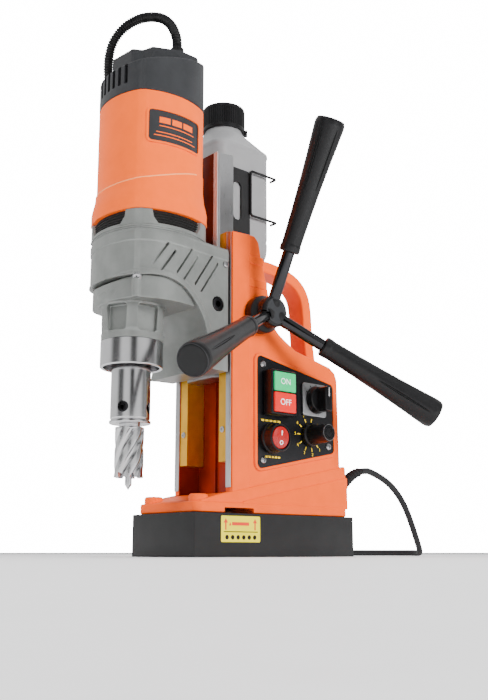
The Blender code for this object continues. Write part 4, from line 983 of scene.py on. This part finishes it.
def neck():
    lower = prism("housing_body", bulged_square(53.5, MOTOR_Y, 24), 231, 252.8)
    lower = boolean(lower, "INTERSECT", rod("arch_fill", (-70, -151, 189), (70, -151, 189), 64.8, sides=160))
    lower = join(lower, turned("neck", [(0, 236), (31.8, 236), (31.2, 232), (30.4, 206), (29.5, 203.5),
                                        (29.4, 197.3),
                                        (0, 197.3)], (0, SPINDLE_Y, 0), radius=0),
                 rod("corner_boss", (35.4, -164.6, 231.5), (35.9, -165.1, 249.5), 4.1),
                 turned("shoulder", [(0, 240), (34.5, 240), (33.5, 233), (31, 230.5), (0, 230.5)],
                        (0, SPINDLE_Y, 0),
                        radius=0))
    windows = []
    for i in range(6):
        turn = math.radians(-65 + 60 * i)
        shape = rounded([(-9.6, -14), (9.6, -14), (10.6, 10.5), (-10.6, 10.5)], 2.4)
        window = prism("window", shape, -6.6, 8, across="X")
        windows.append(placed(window, shift(0, SPINDLE_Y, 218.5)
                              @ Matrix.Rotation(turn, 4, "Z") @ shift(31, 0, 0)))
    lower = cast(cut(cast(lower, 0.6, 1, 0.6), *windows), 0.6, 2, 0.35)
    lower = cut(lower, rod("neck_bore", (0, SPINDLE_Y, 190), (0, SPINDLE_Y, 222), 20),
                rod("neck_hole", (0, SPINDLE_Y, 215), (0, SPINDLE_Y, 260), 11))
    piece(lower, "carriage", "grey_casting", "grey_casting", "spindle_housing", angle=50)
    ring = turned("ring_body", [(29.6, 196.9), (29.6, 173.4), (29, 172.7), (27, 172.7), (26.4, 173.3),
                                (26.4, 185),
                                (19.2, 187), (19.2, 196.9)], (0, SPINDLE_Y, 0), steps=128, radius=0.5)
    piece(ring, "carriage", "chrome", "chrome", "coolant_ring")
    dress("spindle_bearing", "machined_steel")


# ---------------------------------------------------------------- motor

def shell(name, grow, low, high, count=24):
    """A slice of the motor's bulged shape, with its swept step, as a closed solid."""
    rings = []
    steps = max(2, round((high - low) / 2.2))
    for k in range(steps + 1):
        z = low + (high - low) * k / steps
        corner = motor_corner(z)
        ring = []
        for x, y in bulged_square(1.0, 0, count):
            edge = swoop(x * 54, y * 54)
            r = corner + 0.6 * ease(edge + 0.9, edge - 0.9, z) * ease(320, 334, z)
            ring.append(((r + grow) * x, MOTOR_Y + (r + grow) * y, z))
        rings.append(ring)
    return loft(name, rings)


def motor_corner(z):
    levels = ((316, 58.0), (327, 57.6), (333, 56.2), (340, 54.4), (351, 53.2), (438, 53.4))
    if z <= levels[0][0]:
        return levels[0][1]
    for (z0, r0), (z1, r1) in zip(levels, levels[1:]):
        if z <= z1:
            return r0 + (r1 - r0) * (z - z0) / (z1 - z0)
    return levels[-1][1]


def swoop(x, y):
    """Height of the crease round the motor: level across the front, rising along the sides to the back."""
    return 344 + 27 * ease(-66, 66, y) if y > -48 or abs(x) > -y else 344 + 27 * ease(-66, 66, -50)


def motor():
    housing = shell("motor_shell", 0.0, 316, 438)
    housing = soften(housing, 0.8, 3, 60)
    housing = cut(housing, rod("motor_bore", (0, MOTOR_Y, 300), (0, MOTOR_Y, 450), 44))
    piece(housing, "carriage", "motor_orange", "motor_paint", "motor_housing", angle=30)
    around = sorted((math.atan2(x, -y), x, y) for x, y in bulged_square(1.0, 0, 24))
    crease = [(x * motor_corner(swoop(54 * x, 54 * y)), MOTOR_Y + y * motor_corner(swoop(54 * x, 54 * y)),
               swoop(54 * x, 54 * y)) for turn, x, y in around if abs(turn) < 2.1]
    # a thin lighter tube along the crease, as a painted highlight
    piece(sweep("crease_painted_highlight", crease, 0.75, 8), "carriage", "crease_painted_highlight", "motor_paint")
    outer = rounded([(-162, 384), (-101, 384), (-101, 419.5), (-162, 419.5)], 5, 8)
    inner = rounded([(-160.2, 385.8), (-102.8, 385.8), (-102.8, 417.7), (-160.2, 417.7)], 3.4, 8)
    frame_ring = cut(prism("badge_frame", outer, 20, 70, across="X"),
                     prism("hole", inner, 18, 72, across="X"))
    frame_ring = boolean(frame_ring, "INTERSECT", shell("zone", 1.5, 376, 430, 24))
    frame_ring = cut(frame_ring, shell("core", -0.6, 370, 434))
    piece(soften(frame_ring, 0.5, 3, 40), "carriage", "motor_orange", "motor_paint")
    plate = boolean(prism("badge_plate", inner, 20, 70, across="X"), "INTERSECT",
                    shell("zone", 0.35, 376, 430))
    piece(cut(plate, shell("core", -0.6, 370, 434)), "carriage", "cap_plastic", "cap_plastic")
    for i, (y0, y1, z0, z1) in enumerate(((-150, -139, 405, 411), (-137, -126, 405, 411),
                                          (-124, -112, 405, 411),
                                          (-150, -110, 401.4, 402.3), (-153, -112, 394.8, 395.7),
                                          (-155, -108, 391.4, 392.3))):
        bar = boolean(box(f"badge_bar_{i}", (20, y0, z0), (70, y1, z1)), "INTERSECT",
                      shell("zone", 0.6, 376, 430))
        piece(cut(bar, shell("core", -0.2, 370, 434)), "carriage", "motor_orange", "motor_paint")
    plate = prism("vent_plate", bulged_square(56.5, MOTOR_Y, 24), 297.3, 303, bevel=0.7)
    tabs = []
    for i in range(4):
        shape = [(-19, 301), (-13.5, 309), (-12.5, 315.7), (12.5, 315.7), (13.5, 309), (19, 301)]
        tab = prism("tab", shape, 40, 62, across="X")
        tab = placed(tab, shift(0, MOTOR_Y, 0) @ Matrix.Rotation(math.radians(45 + 90 * i), 4, "Z"))
        tabs.append(tab)
    block = boolean(join(*tabs), "INTERSECT", prism("zone", bulged_square(57.0, MOTOR_Y, 24), 300, 316))
    block = cut(block, rod("bore", (0, MOTOR_Y, 290), (0, MOTOR_Y, 320), 47.5))
    plate = join(plate, block, prism("ridge", bulged_square(57.6, MOTOR_Y, 24), 299, 300.6, bevel=0.4))
    plate = cut(plate, rod("plate_bore", (0, MOTOR_Y, 290), (0, MOTOR_Y, 310), 8.3))
    piece(plate, "carriage", "grey_casting", "grey_casting", "bearing_plate", angle=35)
    # the near-black screen behind the fins is painted shade, a dark solid where the vents open onto the shaded
    # inside
    screen = cut(prism("vent_screen", bulged_square(53.6, MOTOR_Y, 24), 303.1, 315.9),
                 rod("bore", (0, MOTOR_Y, 290), (0, MOTOR_Y, 330), 45.5))
    fins = [prism("fin", bulged_square(54.8, MOTOR_Y, 24), z, z + 0.8) for z in (305, 307.6, 310.2, 312.8)]
    fins = [cut(f, rod("bore", (0, MOTOR_Y, 290), (0, MOTOR_Y, 330), 45.5)) for f in fins]
    piece(join(screen, *fins), "carriage", "dark_void", "black_plastic")
    dress("motor_stator", "copper")
    dress("armature", "copper")
    dress("cooling_fan", "black_plastic")
    for node in ("armature_pinion", "layshaft_gear", "layshaft", "spindle_gear", "pilot_spring"):
        dress(node, "machined_steel")


def motor_cap():
    cap = prism("cap_body", bulged_square(53.6, MOTOR_Y, 24), 438.3, 500)
    front = MOTOR_Y - 0.72 * 53.4
    lid = box("lid", (-80, -40, 0), (80, 200, 80))
    lid = placed(lid, shift(0, front, 470) @ Matrix.Rotation(math.radians(15), 4, "X"))
    cap = cut(cap, lid, box("flat_top", (-80, -250, 492), (80, 0, 520)))
    plateau = rounded([(-38.5, -153.5), (-4, -150.5), (1, -141), (13, -137.5), (25.5, -111), (25.5, -90),
                       (20, -84),
                       (-28, -84), (-38.5, -97)], 3.5, 6)
    cap = join(cap, prism("plateau", plateau, 460, 505))
    cap = cast(cap, 0.8, 4, 0.35)
    vents = []
    for i in range(7):
        x = 21 - 8.4 * i
        vents.append(box("vent", (x - 2, -190, 447.5), (x + 2, -158, 467.5 + 0.02 * x), 0.9))
    cap = cut(cap, rod("hollow", (0, MOTOR_Y, 430), (0, MOTOR_Y, 446), 44), *vents)
    piece(cap, "carriage", "cap_plastic", "cap_plastic", "motor_cap", angle=45)


# ---------------------------------------------------------------- spindle and cutter

def spindle():
    arbor = turned("arbor_body", [(0, 274.8), (9, 274.8), (9, 197.5), (18.6, 196), (18.6, 125), (17.9, 124.2),
                                  (17.9, 123.4), (19.4, 122.8), (19.4, 120.9), (18.8, 120.3), (9.8, 120.3),
                                  (9.8, 190),
                                  (0, 190)], (0, SPINDLE_Y, 0), steps=128, radius=0.4)
    screws = []
    holes = []
    for name, azimuth in (("front", 34), ("side", 125)):
        turn = math.radians(azimuth - 90)
        away = Vector((math.cos(turn), math.sin(turn), 0))
        at = Vector((0, SPINDLE_Y, 134.5))
        holes.append(rod("hole", at + away * 10.5, at + away * 22, 5.3))
        screw = cut(rod(f"grub_{name}", at + away * 11, at + away * 17.2, 4.9, bevel=0.6),
                    rod("hex", at + away * 13.5, at + away * 20, 2.9, sides=6))
        screws.append((screw, name))
    piece(cut(arbor, *holes), "spindle", "chrome", "machined_steel", "arbor")
    for screw, name in screws:
        piece(screw, "spindle", "dark_steel", "machined_steel", f"arbor_screw_{name}")
    rings = []
    levels = 26
    for level in range(levels + 1):
        z = 71 + 46 * level / levels
        twist = math.radians(118) * level / levels
        ring = []
        for flute in range(6):
            base = twist + math.pi / 3 * flute
            for share, r in ((0.0, 13.2), (0.03, 13.5), (0.2, 13.5), (0.4, 13.45), (0.5, 13.2), (0.56, 12.2),
                             (0.64, 11.3), (0.74, 10.9), (0.86, 11.1), (0.95, 12)):
                a = base + share * math.pi / 3
                ring.append((r * math.cos(a), SPINDLE_Y + r * math.sin(a), z))
        rings.append(ring)
    tool = join(loft("cutter_body", rings), turned("shank",
                                                   [(0, 150), (9.5, 150), (9.5, 117), (13.4, 117),
                                                    (13.4, 115),
                                                           (0, 115)], (0, SPINDLE_Y, 0)))
    tool = cut(tool, rod("bore", (0, SPINDLE_Y, 60), (0, SPINDLE_Y, 111), 9.7),
               rod("pilot_bore", (0, SPINDLE_Y, 100), (0, SPINDLE_Y, 160), 3.6))
    gashes = []
    for i in range(6):
        turn = math.radians(60 * i + 45)
        gash = prism("gash", [(-3.4, 66), (3.2, 66), (1.4, 74), (-1.2, 75.5)], 8, 16, across="X")
        gashes.append(placed(gash, shift(0, SPINDLE_Y, 0) @ Matrix.Rotation(turn, 4, "Z")))
    piece(cut(tool, *gashes), "spindle", "cutter_steel", "machined_steel", "annular_cutter", angle=28)
    pin = turned("pilot", [(0, 151.8), (6.8, 151.8), (6.8, 150.4), (3.2, 150.4), (3.2, 64.5), (0, 59.5)],
                 (0, SPINDLE_Y, 0),
                 radius=0.2)
    piece(pin, "pilot", "cutter_steel", "machined_steel", "pilot_pin")


# ---------------------------------------------------------------- coolant bottle

def bottle():
    def section(side, radius, z):
        return [(-61 + x, 18 + y, z) for x, y in rounded(rectangle(-side, -side, side, side), radius, 9)]

    steps = [(324.5, 33, 12), (325.2, 35, 12.4), (327.5, 37, 12.7), (332.5, 38.6, 13), (340, 39.3, 13),
             (346, 39.4, 13), (348, 38.9, 13), (350, 38.9, 13), (352, 39.4, 13), (448.5, 39.4, 13),
             (450.2, 39.5, 13.2),
             (451.4, 40.1, 13.5), (453, 40.3, 13.8), (455, 40.1, 14), (456.3, 39.2, 14.6), (458, 37.9, 16),
             (462, 35.6, 19.5), (466, 33, 22), (472, 28.9, 24.3), (477, 25, 24.5), (480, 23.6, 23.4),
             (482, 22.4, 22.3), (484, 21.5, 21.4), (504, 21.5, 21.4)]
    outer = loft("bottle_body", [section(s, r, z) for z, s, r in steps])
    hollow = [(326.5, 31, 10), (334, 36.5, 11), (345, 37.4, 11), (450, 37.4, 11), (456, 36.5, 13),
              (465, 31, 20),
              (476, 23, 22.5), (481, 20, 19.8), (483, 19.3, 19.1), (508, 19.3, 19.1)]
    outer = cut(outer, loft("hollow", [section(s, r, z) for z, s, r in hollow]))
    piece(outer, "bottle", "bottle_plastic", "bottle_plastic", "coolant_bottle", angle=45)
    profile = []
    count = 60
    for k in range(count * 4):
        r = 24.9 if k % 4 in (0, 1) else 24.2
        a = 2 * math.pi * k / (count * 4)
        profile.append((-61 + r * math.cos(a), 18 + r * math.sin(a)))
    cap = join(prism("cap_ribs", profile, 487, 511),
               turned("cap_top", [(0, 514), (22.8, 514), (24.4, 512.8), (24.9, 510.6), (24.9, 509), (0, 509)],
                      (-61, 18, 0), radius=0.6),
               turned("cap_foot", [(0, 488.5), (24.9, 488.5), (24.9, 484.9), (24.4, 484.5), (0, 484.5)],
                      (-61, 18, 0)))
    tab = placed(box("tab", (23.8, -4, 482), (28, 4, 488), 0.8),
                 shift(-61, 18, 0) @ Matrix.Rotation(math.radians(48.9), 4, "Z"))
    cap = cut(join(cap, tab),
              turned("cap_hollow", [(0, 504.6), (22, 504.6), (22, 476), (0, 476)], (-61, 18, 0), radius=0))
    piece(cap, "bottle_cap", "black_plastic", "black_plastic", "bottle_cap")
    wire = [(-27, 60.7, 372), (-20.6, 60.7, 372), (-18.5, 60.2, 372), (-17.3, 58.5, 372), (-17.2, 56, 372),
            (-17.2, 27, 372), (-17.2, 23.5, 372.4), (-17.2, 21.7, 374.2), (-17.2, 21.5, 377),
            (-17.2, 21.5, 420),
            (-17.2, 21.7, 422.8), (-17.2, 23.5, 424.6), (-17.2, 27, 425), (-17.2, 56, 425),
            (-17.3, 58.5, 425),
            (-18.5, 60.2, 425), (-20.6, 60.7, 425), (-27, 60.7, 425)]
    piece(sweep("wire_clip", smooth_path(wire, 4), 1.4, 12), "stand", "black_plastic", "magnet_paint",
          "bottle_clip")


camera()
studio()
cord()
conduit()
magnet()
stand()
controls()
feed_wheel()
slide()
gear_case()
neck()
motor()
motor_cap()
spindle()
bottle()
